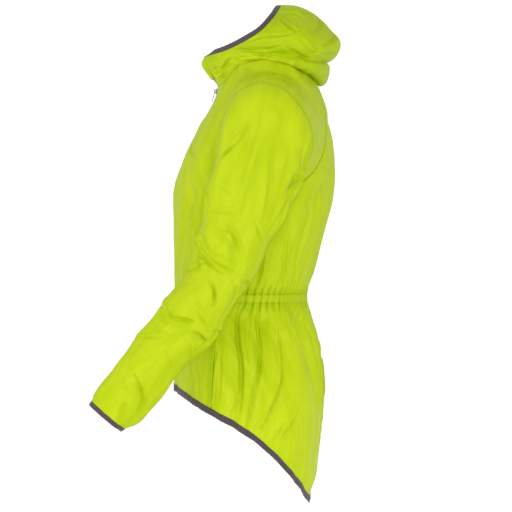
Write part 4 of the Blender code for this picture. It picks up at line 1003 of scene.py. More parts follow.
# Patterns on the cloth: scale across and along it, for each mm, detail, and the relief's strength and depth
Pattern = namedtuple("Pattern", "scale detail strength depth")
MOTTLE = Pattern((0.05, 0.012, 0), 4.0, None, None)
NYLON_RELIEF = rows_of(Pattern, [((0.11, 0.045, 0), 4.0, 0.5, 0.0016), ((0.34, 0.09, 0), 3.0, 0.5, 0.0007)])
WEAVE_THREADS = 0.55
WEAVE_STRENGTH = 0.12
WEAVE_DEPTH = 0.00012
EVEN = (1, 1, 0)

Tape = namedtuple("Tape", "name dark light ribs")
BINDING_TAPE = Tape("binding_tape", (0.042, 0.030, 0.033), (0.095, 0.070, 0.076), 0.55)
ELASTIC_TAPE = Tape("elastic_band", (0.34, 0.42, 0.05), (0.50, 0.60, 0.10), 0.45)
ZIP_TAPE = Tape("zip_tape", (0.035, 0.032, 0.035), (0.08, 0.075, 0.08), 0.9)
TAPE_ROUGHNESS = 0.8
TAPE_SHEEN = 0.1
TAPE_SHINE = 0.3
TAPE_UNEVEN = 1.2
TAPE_FUZZ = 1.6
TAPE_RELIEF = (0.5, 0.0003)

# Finishes of threads and zip: scale and detail of their grain, and the relief's strength and depth in metres
Finish = namedtuple("Finish", "name colour roughness metallic scale detail strength depth")
THREAD = Finish("thread", (0.38, 0.50, 0.01), 0.6, 0.0, 900.0, 2.0, 0.4, 0.0002)
DARK_THREAD = THREAD._replace(name="dark_thread", colour=(0.10, 0.085, 0.09))
TEETH = Finish("zip_coil", (0.035, 0.032, 0.035), 0.45, 0.0, 1500.0, 2.0, 0.3, 0.0001)
PAINT = Finish("zip_paint", (0.045, 0.042, 0.045), 0.42, 0.6, 420.0, 3.0, 0.2, 0.0001)
PAINT_DARK = (0.04, 0.037, 0.04)
PAINT_WORN = (0.11, 0.10, 0.105)


def new_material(name, colour, roughness, metallic=0.0):
    """A plain material, with its node tree and its main shader for what is added to it."""
    material = bpy.data.materials.new(name)
    material.use_nodes = True
    shader = material.node_tree.nodes["Principled BSDF"]
    shader.inputs["Base Color"].default_value = (*colour, 1)
    shader.inputs["Roughness"].default_value = roughness
    shader.inputs["Metallic"].default_value = metallic
    return material, material.node_tree, shader


def cloth_grain(tree, scale):
    """Places on the cloth, in mm across and along it, and its darkening by doubled cloth and painted shade,
    times the scale.
    """
    grain = tree.nodes.new("ShaderNodeAttribute")
    grain.attribute_name = "grain"
    scaled = tree.nodes.new("ShaderNodeVectorMath")
    scaled.operation = "MULTIPLY"
    scaled.inputs[1].default_value = scale
    tree.links.new(grain.outputs["Vector"], scaled.inputs[0])
    return scaled.outputs["Vector"]


def noise_texture(tree, vector, scale, detail):
    texture = tree.nodes.new("ShaderNodeTexNoise")
    texture.inputs["Scale"].default_value = scale
    texture.inputs["Detail"].default_value = detail
    tree.links.new(vector, texture.inputs["Vector"])
    return texture.outputs["Fac"]


def bump(tree, height, strength, distance, below=None):
    node = tree.nodes.new("ShaderNodeBump")
    node.inputs["Strength"].default_value = strength
    node.inputs["Distance"].default_value = distance
    tree.links.new(height, node.inputs["Height"])
    if below is not None:
        tree.links.new(below, node.inputs["Normal"])
    return node.outputs["Normal"]


def product(tree, first, second):
    node = tree.nodes.new("ShaderNodeMath")
    node.operation = "MULTIPLY"
    tree.links.new(first, node.inputs[0])
    tree.links.new(second, node.inputs[1])
    return node.outputs[0]


def colour_between(tree, value, dark, light, start, end):
    """Colours from dark to light as the value goes from start to end."""
    ramp = tree.nodes.new("ShaderNodeValToRGB")
    low, high = ramp.color_ramp.elements
    low.position = start
    low.color = (*dark, 1)
    high.position = end
    high.color = (*light, 1)
    tree.links.new(value, ramp.inputs["Fac"])
    return ramp.outputs["Color"]


def wave_texture(tree, vector, direction, scale):
    wave = tree.nodes.new("ShaderNodeTexWave")
    wave.wave_type = "BANDS"
    wave.bands_direction = direction
    wave.wave_profile = "SIN"
    wave.inputs["Scale"].default_value = scale
    tree.links.new(vector, wave.inputs["Vector"])
    return wave


def weave(tree, vector, threads):
    """Height of a plain weave: the product of two sine waves, one along each direction."""
    warp, weft = (wave_texture(tree, vector, direction, threads).outputs["Fac"] for direction in ("X", "Y"))
    return product(tree, warp, weft)


def nylon_material():
    """Thin bright nylon: light passes through it, and fine crinkles and a weave break up its sheen."""
    material, tree, shader = new_material("nylon", NYLON_COLOUR, NYLON_ROUGHNESS)
    shader.inputs["Specular IOR Level"].default_value = NYLON_SHINE
    mottle = noise_texture(tree, cloth_grain(tree, MOTTLE.scale), 1.0, MOTTLE.detail)
    single = colour_between(tree, mottle, NYLON_DEEP, NYLON_PALE, 0.33, 0.67)
    # The grain's third value mixes in the darker colour of doubled cloth and of painted shade
    parts = tree.nodes.new("ShaderNodeSeparateXYZ")
    tree.links.new(cloth_grain(tree, (1, 1, 1)), parts.inputs[0])
    colour = tree.nodes.new("ShaderNodeMix")
    colour.data_type = "RGBA"
    colour.inputs["B"].default_value = (*NYLON_DOUBLED_AND_SHADED, 1)
    tree.links.new(parts.outputs["Z"], colour.inputs["Factor"])
    tree.links.new(single, colour.inputs["A"])
    tree.links.new(colour.outputs["Result"], shader.inputs["Base Color"])
    normal = None
    for relief in NYLON_RELIEF:
        height = noise_texture(tree, cloth_grain(tree, relief.scale), 1.0, relief.detail)
        normal = bump(tree, height, relief.strength, relief.depth, normal)
    threads = weave(tree, cloth_grain(tree, EVEN), WEAVE_THREADS)
    normal = bump(tree, threads, WEAVE_STRENGTH, WEAVE_DEPTH, normal)
    tree.links.new(normal, shader.inputs["Normal"])
    through = tree.nodes.new("ShaderNodeBsdfTranslucent")
    tree.links.new(colour.outputs["Result"], through.inputs["Color"])
    tree.links.new(normal, through.inputs["Normal"])
    mix = tree.nodes.new("ShaderNodeMixShader")
    mix.inputs["Fac"].default_value = NYLON_THROUGH
    tree.links.new(shader.outputs["BSDF"], mix.inputs[1])
    tree.links.new(through.outputs["BSDF"], mix.inputs[2])
    tree.links.new(mix.outputs["Shader"], tree.nodes["Material Output"].inputs["Surface"])
    return material


def tape_material(tape):
    """Woven or folded tape with fine ribs across it."""
    material, tree, shader = new_material(tape.name, tape.dark, TAPE_ROUGHNESS)
    shader.inputs["Sheen Weight"].default_value = TAPE_SHEEN
    shader.inputs["Specular IOR Level"].default_value = TAPE_SHINE
    ribs = wave_texture(tree, cloth_grain(tree, EVEN), "X", tape.ribs)
    ribs.inputs["Distortion"].default_value = TAPE_UNEVEN
    ribs.inputs["Detail"].default_value = 1.0
    fuzz = noise_texture(tree, cloth_grain(tree, EVEN), TAPE_FUZZ, 4.0)
    height = product(tree, ribs.outputs["Fac"], fuzz)
    colour = colour_between(tree, height, tape.dark, tape.light, 0.0, 0.6)
    tree.links.new(colour, shader.inputs["Base Color"])
    tree.links.new(bump(tree, height, *TAPE_RELIEF), shader.inputs["Normal"])
    return material


def fine_material(finish, dark=None, light=None):
    """A grainy finish; with two more colours, the grain goes from one to the other."""
    material, tree, shader = new_material(finish.name, finish.colour, finish.roughness, finish.metallic)
    coordinates = tree.nodes.new("ShaderNodeTexCoord")
    grain = noise_texture(tree, coordinates.outputs["Object"], finish.scale, finish.detail)
    if dark:
        colour = colour_between(tree, grain, dark, light, 0.45, 0.75)
        tree.links.new(colour, shader.inputs["Base Color"])
    tree.links.new(bump(tree, grain, finish.strength, finish.depth), shader.inputs["Normal"])
    return material


def stage_material():
    """White that glows a little, so that the floor shows no dark horizon."""
    material, _, shader = new_material("stage", STAGE_COLOUR, STAGE_ROUGHNESS)
    shader.inputs["Specular IOR Level"].default_value = 0.0
    shader.inputs["Emission Color"].default_value = (1, 1, 1, 1)
    shader.inputs["Emission Strength"].default_value = STAGE_GLOW
    return material


# ---------------------------------------------------------------- pieces from grids

def new_object(name, data):
    obj = bpy.data.objects.new(name, data)
    bpy.context.scene.collection.objects.link(obj)
    return obj


def add_piece(name, points, faces, material, grain=None):
    """A new object from points in mm, riding on the garment."""
    mesh = bpy.data.meshes.new(name)
    mesh.from_pydata((np.asarray(points) * MM).tolist(), [], faces)
    if grain is not None:
        attribute = mesh.attributes.new("grain", "FLOAT_VECTOR", "POINT")
        values = np.zeros((len(points), 3), np.float32)
        values[:, :grain.shape[-1]] = grain
        attribute.data.foreach_set("vector", values.ravel())
    mesh.shade_smooth()
    mesh.materials.append(material)
    mesh.update()
    obj = new_object(name, mesh)
    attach(obj, GARMENT)
    return obj


def grid_faces(rows, columns, closed=False):
    """Quads of a grid; a closed one joins its last column to its first."""
    index = np.arange(rows * columns).reshape(rows, columns)
    if closed:
        index = np.concatenate([index, index[:, :1]], axis=1)
    faces = np.stack([index[:-1, :-1], index[1:, :-1], index[1:, 1:], index[:-1, 1:]], axis=-1)
    return faces.reshape(-1, 4).tolist()


def add_cloth(name, grid, grain, closed, material):
    if closed:
        grid = grid[:, :-1]
        grain = grain[:, :-1]
    faces = grid_faces(grid.shape[0], grid.shape[1], closed)
    return add_piece(name, grid.reshape(-1, 3), faces, material, grain=grain.reshape(-1, grain.shape[-1]))


BAND_PROFILE = 7
BAND_ROUND = 0.45


def band_profile(width, low, high):
    """Closed outline of a tape's section, (along, out) in mm: flat sides and rounded edges."""
    middle = (low + high) / 2
    half = (high - low) / 2
    outline = []
    for centre, start in ((width - half * BAND_ROUND, -math.pi / 2), (half * BAND_ROUND, math.pi / 2)):
        for step in range(BAND_PROFILE):
            angle = start + math.pi * step / (BAND_PROFILE - 1)
            outline.append((centre + half * BAND_ROUND * math.cos(angle), middle + half * math.sin(angle)))
    return outline


def add_band(name, upper, lower, normals, closed, material):
    """A folded tape over the cloth's edge, between an upper and a lower line of points."""
    down = lower - upper
    width = np.linalg.norm(down, axis=1).mean()
    down /= np.linalg.norm(down, axis=1)[:, None]
    outline = band_profile(width, BINDING_PROUD - BINDING_THICKNESS, BINDING_PROUD)
    rings = np.stack([upper + down * along + normals * out for along, out in outline], axis=1)
    lengths = lengths_along(upper)
    count = len(outline)
    if closed:
        rings = rings[:-1]
        lengths = lengths[:-1]
    index = np.arange(len(rings) * count).reshape(len(rings), count)
    index = np.concatenate([index, index[:, :1]], axis=1)
    if closed:
        index = np.concatenate([index, index[:1]], axis=0)
    faces = np.stack([index[:-1, :-1], index[:-1, 1:], index[1:, 1:], index[1:, :-1]], axis=-1)
    faces = faces.reshape(-1, 4).tolist()
    if not closed:
        faces.append(tuple(int(i) for i in index[0, :-1][::-1]))
        faces.append(tuple(int(i) for i in index[-1, :-1]))
    around = np.array([along for along, _ in outline])
    grain = np.stack([np.repeat(lengths, count), np.tile(around, len(rings))], axis=-1)
    return turned_out(add_piece(name, rings.reshape(-1, 3), faces, material, grain=grain))


def turned_out(piece):
    """Face the closed shapes of a piece outwards."""
    shape = bmesh.new()
    shape.from_mesh(piece.data)
    bmesh.ops.recalc_face_normals(shape, faces=shape.faces)
    shape.to_mesh(piece.data)
    shape.free()
    return piece


def add_copies(name, shape, faces, places, along, out, material):
    """Many copies of a small shape as one piece. The shape's points are (along, side, out) in mm."""
    side = np.cross(out, along)
    points = np.stack([places + along * a + side * b + out * c for a, b, c in shape], axis=1).reshape(-1, 3)
    count = len(shape)
    all_faces = [tuple(index * count + i for i in face) for index in range(len(places)) for face in faces]
    return add_piece(name, points, all_faces, material)


def places_along(line, normals, pitch):
    """Evenly spaced places on a line with their directions along it and out of the cloth."""
    lengths = lengths_along(line)
    count = max(1, int(lengths[-1] / pitch))
    at = (np.arange(count) + 0.5) * lengths[-1] / count
    points = resampled(line, at)
    after = resampled(line, np.minimum(at + DIRECTION_STEP, lengths[-1]))
    along = unit(after - resampled(line, np.maximum(at - DIRECTION_STEP, 0)))
    out = np.stack([np.interp(at, lengths, normals[:, k]) for k in range(3)], axis=-1)
    out = unit(out - along * np.sum(out * along, axis=-1, keepdims=True))
    return points, along, out


STITCH_LENGTH = 2.4
STITCH_PITCH = 3.2
STITCH_WIDTH = 0.5
STITCH_HEIGHT = 0.35
STITCH_SUNK = 0.1
STITCH_FACES = [(0, 6, 1), (1, 6, 7, 2), (2, 7, 3), (3, 7, 4), (4, 7, 6, 5), (5, 6, 0), (0, 1, 2, 3, 4, 5)]


def add_stitches(name, line, normals, material, pitch=STITCH_PITCH):
    """A row of stitches on a line of points: small raised lozenges."""
    half = STITCH_LENGTH / 2 * pitch / STITCH_PITCH
    wide = STITCH_WIDTH / 2
    low = -STITCH_SUNK
    high = STITCH_HEIGHT
    shape = [(-half, 0, low), (-half / 2, wide, low), (half / 2, wide, low), (half, 0, low),
             (half / 2, -wide, low), (-half / 2, -wide, low), (-half / 2, 0, high), (half / 2, 0, high)]
    points, along, out = places_along(line, normals, pitch)
    return turned_out(add_copies(name, shape, STITCH_FACES, points, along, out, material))


def line_beside(grid, normals, distance):
    """Points and normals at a distance from a grid's first column, or from its last if it is negative."""
    points = []
    out = []
    for row, row_normals, length in zip(grid, normals, lengths_along(grid)):
        at = distance if distance > 0 else length[-1] + distance
        points.append([np.interp(at, length, row[:, k]) for k in range(3)])
        out.append([np.interp(at, length, row_normals[:, k]) for k in range(3)])
    return np.array(points), unit(np.array(out))


def line_from_side(panel, distance):
    """A line down the panel at a distance from its first or last column."""
    return line_beside(panel.grid, panel.normals(), distance)


def line_from_top(panel, distance):
    """A line across the panel at a distance from its first or last row."""
    return line_beside(panel.grid.transpose(1, 0, 2), panel.normals().transpose(1, 0, 2), distance)


# ---------------------------------------------------------------- the garment

# Soft waves of the panels, broad and fine: their lengths across and along the cloth and their depth, mm
WAVES = {
    "front": ((30, 170, 2.6), (12, 60, 0.9)),
    "back": ((34, 190, 3.0), (12, 70, 1.0)),
    "shoulder": ((30, 30, 2.2), (10, 14, 0.8)),
    "sleeve": ((24, 130, 3.0), (10, 42, 1.0)),
    "hood": ((40, 22, 2.2), (18, 9, 0.7)),
}
# Where each panel's uneven patterns start
SEEDS = {
    "front_left": 3.0, "front_right": 8.5, "back": 5.0, "shoulder_left": 43.0, "shoulder_right": 48.5,
    "sleeve_left": 13.0, "sleeve_right": 21.5, "hood_left": 31.0, "hood_right": 37.5,
}
Ruffle = namedtuple("Ruffle", "pitch depth reach")
HEM_RUFFLE = Ruffle(9, 0.5, 16)
HEM_BACK_SEED = 2.0
CUFF_RUFFLE = Ruffle(8, 0.6, 18)
SEAM_RUFFLE = Ruffle(8, 0.5, 9)
ZIP_ROLL_HEIGHT = 0.6
ZIP_ROLL_WIDTH = 9
ZIP_EDGE_DEPTH = 0.9
ZIP_EDGE_WIDTH = 1.6
SLEEVE_JOIN_PACE = 12
SHOULDER_PACE = 10
HOOD_SHADE_FROM = 20
HOOD_SHADE_WIDTH = 40


def both_sides(kind, grid, places, closed=False):
    """The left panel and the right one, which is its mirror image before the waves are pushed in."""
    return [Panel(f"{kind}_left", grid, places, closed),
            Panel(f"{kind}_right", mirrored(grid), places, closed)]


def by_name(panels):
    return {panel.name: panel for panel in panels}


def edges_of(panel):
    """The distances from a panel's edge at the middle of the garment and from its outer edge."""
    if panel.name.endswith("_left"):
        return panel.to_start, panel.to_end
    return panel.to_end, panel.to_start


def front_panels():
    """Left and right front, from the zip to the arm and side seams."""
    shares = near_edges(FRONT_COLUMNS, SEAM_STEPS, False, True)
    guides = body_guides(FRONT_ARM, shares, True)
    places = panel_places(guides, row_spacing(len(FRONT_ARM)))
    grid = lifted_to_roll(trimmed(smooth_rows(guides, places), ZIP_OPENING, 0))
    panels = both_sides("front", grid, places)
    above = (places < len(FRONT_ARM) - 2)[:, None]
    for panel in panels:
        edge, seam = edges_of(panel)
        roll = ZIP_ROLL_HEIGHT * hill(edge, 0, ZIP_ROLL_WIDTH)
        roll -= ZIP_EDGE_DEPTH * hill(edge, 0, ZIP_EDGE_WIDTH)
        puckers = [pucker(panel, panel.to_bottom, HEM_RUFFLE, SEEDS[panel.name]), roll]
        shown = np.where(above, FAINT_SEAM, 1.0)
        finish_panel(panel, waves_of(panel, "front"), [seam, panel.to_top], puckers, shown=shown)
    return by_name(panels)


def back_panel():
    """The whole back, gathered at the waist."""
    shares = near_edges(BACK_COLUMNS, SEAM_STEPS, False, True)
    guides = body_guides(BACK_ARM, shares, False)
    places = panel_places(guides, row_spacing(len(BACK_ARM)))
    grid = both_halves(lifted_to_roll(smooth_rows(guides, places)))
    panel = Panel("back", grid, places)
    strengths = np.array([0.0] * len(BACK_ARM) + [ring.gather for ring, _ in body_rings()])
    strengths = np.interp(places, np.arange(len(strengths)), strengths)
    gathers, shade = gather_push(panel, strengths)
    puckers = [gathers, pucker(panel, panel.to_bottom, HEM_RUFFLE, HEM_BACK_SEED)]
    finish_panel(panel, waves_of(panel, "back"), [panel.to_start, panel.to_end, panel.to_top], puckers, shade)
    return by_name([panel])


def shoulder_panels():
    """The crescents over the shoulders, between the sleeves' head seams and the neck and body seams."""
    shares = np.linspace(*SHOULDER_SHARES, SHOULDER_COLUMNS + 1)
    across = near_edges(SHOULDER_ROWS, SEAM_STEPS, True, True)
    grid = lifted_to_roll(smooth_columns(arm_guides(shares), across[:, None] * head_places(shares)))
    panels = both_sides("shoulder", grid, across)
    behind = smooth_step((shares - SHOULDER_MIDDLE) * SHOULDER_PACE)
    for panel, to_back in zip(panels, (behind, behind[::-1])):
        shown = FAINT_SEAM + (1 - FAINT_SEAM) * to_back
        shown = np.where(panel.to_top < panel.to_bottom, shown, 1.0)
        puckers = [pucker(panel, panel.to_bottom, SEAM_RUFFLE, SEEDS[panel.name])]
        seams = [panel.to_top, panel.to_bottom]
        finish_panel(panel, waves_of(panel, "shoulder"), seams, puckers, shown=shown)
    return by_name(panels)


def sleeve_panels():
    """The sleeves, from their head seams to the cuffs."""
    shares = np.linspace(0, 1, SLEEVE_COLUMNS + 1)
    guides = arm_guides(shares)
    places = panel_places(guides, lambda index: ROW_SPACING * SLEEVE_SPACING_SHARE)
    places = np.sort(np.append(places, HEAD_ROWS))
    begun = 1 - np.minimum(places / len(SLEEVE), 1)
    grid = lifted_to_roll(smooth_columns(guides, places[:, None] + begun[:, None] * head_places(shares)))
    panels = both_sides("sleeve", grid, places, closed=True)
    join = smooth_step(np.minimum(shares, 1 - shares) * SLEEVE_JOIN_PACE)
    for panel in panels:
        seed = SEEDS[panel.name]
        waves = [wave * join for wave in waves_of(panel, "sleeve")]
        puckers = [pucker(panel, panel.to_bottom, CUFF_RUFFLE, seed) * join,
                   pucker(panel, panel.to_top, SEAM_RUFFLE, seed + 2) * join]
        finish_panel(panel, waves, [panel.to_top], puckers)
    return by_name(panels)


def hood_panels():
    """The two halves of the hood, from its opening to the neckline."""
    shares = near_edges(HOOD_COLUMNS, SEAM_STEPS, False, True)
    guides = hood_guides(shares)
    places = panel_places(guides, lambda index: ROW_SPACING * HOOD_SPACING_SHARE, first=1)
    panels = both_sides("hood", trimmed(smooth_rows(guides, places), ZIP_OPENING, 0), places)
    for panel in panels:
        _, seam = edges_of(panel)
        puckers = [pucker(panel, panel.to_top, HEM_RUFFLE, SEEDS[panel.name])]
        shown = np.where(panel.to_bottom < seam, FAINT_SEAM, 1.0)
        shade = HOOD_SHADE * smooth_step((panel.to_bottom - HOOD_SHADE_FROM) / HOOD_SHADE_WIDTH)
        finish_panel(panel, waves_of(panel, "hood"), [seam, panel.to_bottom], puckers, shade, shown)
    return by_name(panels)


def panel_places(guides, spacing_of, first=0):
    """Row places of a panel: the stretch under its binding, at one end, has only its two edge rows."""
    last = len(guides) - 1
    if first == 0:
        return np.append(row_places(guides[:-1], spacing_of), last)
    return np.append(0, row_places(guides[1:], spacing_of) + 1)


# Size that each panel was cut to, in metres: length runs down the garment, and a tube's width is all round
Cut = namedtuple("Cut", "width length area held")

NODES_OF = {
    "sleeve_left": ["sleeve_upper_left", "sleeve_lower_left"],
    "sleeve_right": ["sleeve_upper_right", "sleeve_lower_right"],
}


def add_panel(panel, cloth):
    """The cloth of a panel, without the row under its binding."""
    rows = slice(0, -1)
    if panel.name.startswith("hood"):
        rows = slice(1, None)
    elif panel.name.startswith("shoulder"):
        rows = slice(0, None)
    piece = add_cloth(f"{panel.name}_cloth", panel.grid[rows], panel.grain[rows], panel.closed, cloth)
    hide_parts(*NODES_OF.get(panel.name, [panel.name]))
    return piece


def edge_line(panels, names, row):
    """One row of several panels end to end, with its normals; where two panels meet, the point is shared."""
    points = []
    normals = []
    for name in names:
        line = panels[name].grid[row]
        out = panels[name].normals()[row]
        first = 1 if points and np.linalg.norm(line[0] - points[-1][-1]) < SAME_PLACE else 0
        points.append(line[first:])
        normals.append(out[first:])
    return np.concatenate(points), np.concatenate(normals)


def add_binding(name, cloth_line, edge, normals, closed, tape, thread, nodes):
    """A folded tape and the stitches that hold it."""
    piece = add_band(name, cloth_line, edge, normals, closed, tape)
    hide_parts(*nodes)
    down = unit(edge - cloth_line)
    line = cloth_line + down * BINDING_STITCH_INSET + normals * BINDING_PROUD
    stitches = add_stitches(f"{name}_stitches", line, normals, thread, BINDING_STITCH_PITCH)
    return [piece, stitches]


def add_bindings(panels, tape, thread):
    """The folded tapes of the hem, cuffs and hood opening, each with its stitches, by panel."""
    pieces = {}
    around = ["front_left", "back", "front_right"]
    cloth_line, normals = edge_line(panels, around, -2)
    edge, _ = edge_line(panels, around, -1)
    pieces["back"] = add_binding("hem_binding", cloth_line, edge, normals, False, tape, thread,
                                 ("hem_binding_left", "hem_binding_back", "hem_binding_right"))
    for side in ("left", "right"):
        sleeve = f"sleeve_{side}"
        cloth_line, normals = edge_line(panels, [sleeve], -2)
        edge, _ = edge_line(panels, [sleeve], -1)
        name = f"cuff_binding_{side}"
        pieces[sleeve] = add_binding(f"{name}_tape", cloth_line, edge, normals, True, tape, thread, (name,))
    both = ["hood_left", "hood_right"]
    cloth_line, normals = edge_line(panels, both, 1)
    edge, _ = edge_line(panels, both, 0)
    for line in (cloth_line, edge):
        line[0, 0] = BINDING_END_GAP
        line[-1, 0] = -BINDING_END_GAP
    pieces["hood_left"] = add_binding("hood_binding", cloth_line, edge, normals, False, tape, thread,
                                      ("hood_binding_left", "hood_binding_right"))
    return pieces


def zip_line(panels):
    """The middle line of the zip from the chin down to the hem, with the directions out of the cloth."""
    hood = panels["hood_left"]
    start = np.searchsorted(hood.places, ZIP_TOP_HOOD_ROW)
    line = np.concatenate([hood.grid[start:-1, 0], panels["front_left"].grid[:, 0]])
    line[:, 0] = 0
    down = unit(np.gradient(line, axis=0))
    out = np.stack([np.zeros(len(line)), down[:, 2], -down[:, 1]], axis=-1)
    return line, out


def add_coil(panels, teeth):
    """The teeth of the closed zip, by turns from its left and its right tape."""
    line, out = zip_line(panels)
    places, along, normals = places_along(line, out, TOOTH_PITCH)
    half = TOOTH_WIDTH / 2
    shape = []
    for level, inset in TOOTH_LEVELS:
        shape += [(-half + inset, -TOOTH_REACH + inset, level), (half - inset, -TOOTH_REACH + inset, level),
                  (half - inset, TOOTH_OVERLAP, level), (-half + inset, TOOTH_OVERLAP, level)]
    faces = [(0, 3, 2, 1), (8, 9, 10, 11)]
    for base in (0, 4):
        for i in range(4):
            j = (i + 1) % 4
            faces.append((base + i, base + j, base + j + 4, base + i + 4))
    sides = np.where(np.arange(len(places)) % 2 == 0, 1.0, -1.0)[:, None]
    coil = turned_out(add_copies("zip_coil", shape, faces, places, along * sides, normals, teeth))
    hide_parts("zip_chain")
    return coil


def zip_tape_rows(grid, normals):
    """Rows of a zip's tape behind the edge of a grid, from the teeth outwards."""
    rows = []
    for row, row_normals in zip(grid, normals):
        inward = unit(row[0] - row[1])
        new_row = []
        for distance in ZIP_TAPE_COLUMNS:
            beyond = distance - ZIP_OPENING
            point = row[0] - inward * beyond if beyond < 0 else resampled(row, [beyond])[0]
            new_row.append(point - row_normals[0] * TAPE_DEPTH)
        rows.append(new_row)
    return rows


def add_zip_tape(panels, side, tape):
    """One of the zip's tapes, from the chin down to the hem."""
    hood = panels[f"hood_{side}"]
    start = np.searchsorted(hood.places, ZIP_TOP_HOOD_ROW)
    way = 1 if side == "left" else -1
    rows = []
    for panel, chosen in ((hood, slice(start, -1)), (panels[f"front_{side}"], slice(0, -2))):
        rows += zip_tape_rows(panel.grid[chosen, ::way], panel.normals()[chosen, ::way])
    panel = Panel(f"zip_tape_{side}", np.array(rows)[:, ::way], None)
    piece = add_cloth(f"zip_tape_{side}_weave", panel.grid, panel.grain, False, tape)
    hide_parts(f"zip_tape_{side}")
    return piece


def add_zip(panels, tape, teeth, paint):
    """Coil teeth of the closed zip and the tapes behind the fronts; the result is by panel."""
    pieces = {"front_left": [add_coil(panels, teeth)], "front_right": []}
    for side in ("left", "right"):
        pieces[f"front_{side}"].append(add_zip_tape(panels, side, tape))
    for name in ("zip_slider", "zip_pull"):
        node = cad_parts[name]
        node.data.materials.clear()
        node.data.materials.append(paint)
    return pieces


def add_chin_guard(cloth, thread):
    """The patch over the zip's top end, sewn down round its edge."""
    guides = hood_guides(np.linspace(0, GUARD_SHARE, GUARD_COLUMNS))
    rows = smooth_rows(guides, np.linspace(GUARD_FIRST_ROW, GUARD_LAST_ROW, GUARD_ROWS))
    grid = np.concatenate([mirrored(rows), rows[:, 1:]], axis=1)
    panel = Panel("chin_guard", grid, None)
    edge = np.minimum.reduce([panel.to_start, panel.to_end, panel.to_top, panel.to_bottom])
    rise = GUARD_EDGE + (GUARD_OUT - GUARD_EDGE) * smooth_step(edge / GUARD_ROLL)
    panel.grid = panel.grid + panel.normals() * rise[..., None]
    piece = add_cloth("chin_guard_cloth", panel.grid, panel.grain, False, cloth)
    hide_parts("chin_guard")
    for name, distance in (("a", GUARD_STITCH_INSET), ("b", -GUARD_STITCH_INSET)):
        line, normals = line_from_side(panel, distance)
        add_stitches(f"chin_guard_stitches_{name}", line, normals, thread)


def add_waist_elastic(elastic):
    """The elastic in the waist's casing, seen from inside."""
    shares = np.linspace(0, 1, ELASTIC_COLUMNS)
    ring = BODY_RINGS[WAIST_TOP_RING]
    levels = np.linspace(CASING_TOP - ELASTIC_MARGIN, CASING_LOW + ELASTIC_MARGIN, ELASTIC_ROWS)
    rows = [ring_row(ring, shares, False, lambda y, z=z: np.full_like(y, z)) for z in levels]
    panel = Panel("waist_elastic", both_halves(np.array(rows)), None)
    grid = trimmed(panel.grid - panel.normals() * ELASTIC_DEPTH, ELASTIC_END, ELASTIC_END)
    panel = Panel("waist_elastic", grid, None)
    piece = add_cloth("waist_elastic_band", panel.grid, panel.grain, False, elastic)
    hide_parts("waist_elastic")


def add_seams(panels, thread):
    """Rows of stitches beside the seams, on the zip's edges and along the waist's casing, by panel."""
    rows = []
    for side, way in (("left", 1), ("right", -1)):
        sleeve, shoulder, hood, front = (f"{kind}_{side}" for kind in ("sleeve", "shoulder", "hood", "front"))
        rows.append((sleeve, f"head_stitches_{side}", line_from_top(panels[sleeve], SEAM_STITCH_INSET)))
        rows.append((shoulder, f"shoulder_stitches_{side}",
                     line_from_top(panels[shoulder], SEAM_STITCH_INSET)))
        rows.append((hood, f"neck_stitches_{side}", line_from_top(panels[hood], -SEAM_STITCH_INSET)))
        points, normals = line_from_side(panels[hood], -SEAM_STITCH_INSET * way)
        rows.append((hood, f"hood_stitches_{side}", (points[2:], normals[2:])))
        points, normals = line_from_side(panels[front], ZIP_STITCH_INSET * way)
        rows.append((front, f"zip_stitches_{side}", (points[:-2], normals[:-2])))
    back = panels["back"]
    below = np.searchsorted(back.places, len(BACK_ARM) - 1)
    for side, inset in (("left", SEAM_STITCH_INSET), ("right", -SEAM_STITCH_INSET)):
        points, normals = line_from_side(back, inset)
        rows.append(("back", f"side_stitches_{side}", (points[below:-2], normals[below:-2])))
    heights = back.grid[:, back.grid.shape[1] // 2, 2]
    normals = back.normals()
    for name, level in (("top", CASING_TOP), ("low", CASING_LOW)):
        index = int(np.argmin(np.abs(heights - level)))
        rows.append(("back", f"waist_stitches_{name}", (back.grid[index], normals[index])))
    pieces = {panel: [] for panel, _, _ in rows}
    for panel, name, (points, normals) in rows:
        stitches = add_stitches(name, points, normals, thread)
        pieces[panel].append(stitches)
    return pieces


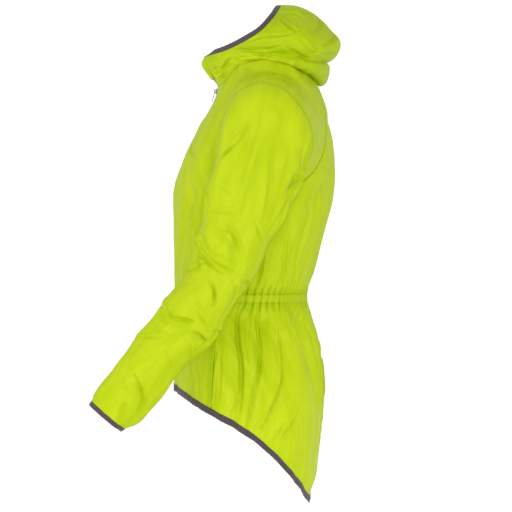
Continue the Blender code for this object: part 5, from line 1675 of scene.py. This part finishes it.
def add_stage(material):
    """A pale floor that curves up into a backdrop all round."""
    level = CAD_BOX[0][2] - STAGE_DROP
    points = []
    for step in range(STAGE_STEPS + 1):
        slope = math.pi / 2 * step / STAGE_STEPS
        radius = STAGE_FLAT + STAGE_CURVE * math.sin(slope)
        height = level + STAGE_CURVE * (1 - math.cos(slope))
        for side in range(STAGE_SIDES):
            angle = 2 * math.pi * side / STAGE_SIDES
            points.append((radius * math.cos(angle), radius * math.sin(angle), height))
    faces = [tuple(range(STAGE_SIDES))]
    for ring in range(0, STAGE_STEPS * STAGE_SIDES, STAGE_SIDES):
        for i in range(STAGE_SIDES):
            j = (i + 1) % STAGE_SIDES
            faces.append((ring + i, ring + STAGE_SIDES + i, ring + STAGE_SIDES + j, ring + j))
    mesh = bpy.data.meshes.new("floor")
    mesh.from_pydata(points, [], faces)
    mesh.shade_smooth()
    mesh.materials.append(material)
    floor = new_object("floor", mesh)


def add_light(light):
    lamp = bpy.data.lights.new(light.name, "AREA")
    lamp.shape = "DISK"
    lamp.size = light.size
    lamp.energy = light.power
    obj = new_object(light.name, lamp)
    obj.location = light.place
    direction = Vector(light.target) - Vector(light.place)
    obj.rotation_euler = direction.to_track_quat("-Z", "Y").to_euler()


def add_camera():
    camera = bpy.data.cameras.new("camera")
    camera.lens = CAMERA_LENS
    camera.sensor_width = CAMERA_SENSOR
    obj = new_object("camera", camera)
    obj.location = CAMERA_PLACE
    obj.rotation_euler = (math.pi / 2, 0, math.pi / 2)
    bpy.context.scene.camera = obj


def set_light():
    scene = bpy.context.scene
    scene.view_settings.view_transform = "Standard"
    world = bpy.data.worlds.new("studio")
    scene.world = world
    world.use_nodes = True
    background = world.node_tree.nodes["Background"]
    background.inputs["Color"].default_value = (1, 1, 1, 1)
    background.inputs["Strength"].default_value = SKY
    for light in LIGHTS:
        add_light(light)


def main():
    nylon = nylon_material()
    binding = tape_material(BINDING_TAPE)
    elastic = tape_material(ELASTIC_TAPE)
    zip_tape = tape_material(ZIP_TAPE)
    thread = fine_material(THREAD)
    panels = {}
    for made in (front_panels(), back_panel(), shoulder_panels(), sleeve_panels(), hood_panels()):
        panels.update(made)
    made_on = (
        add_bindings(panels, binding, fine_material(DARK_THREAD)),
        add_zip(panels, zip_tape, fine_material(TEETH), fine_material(PAINT, PAINT_DARK, PAINT_WORN)),
        add_seams(panels, thread),
    )
    add_chin_guard(nylon, thread)
    add_waist_elastic(elastic)
    for panel in panels.values():
        piece = add_panel(panel, nylon)
    add_stage(stage_material())
    add_camera()
    set_light()


main()
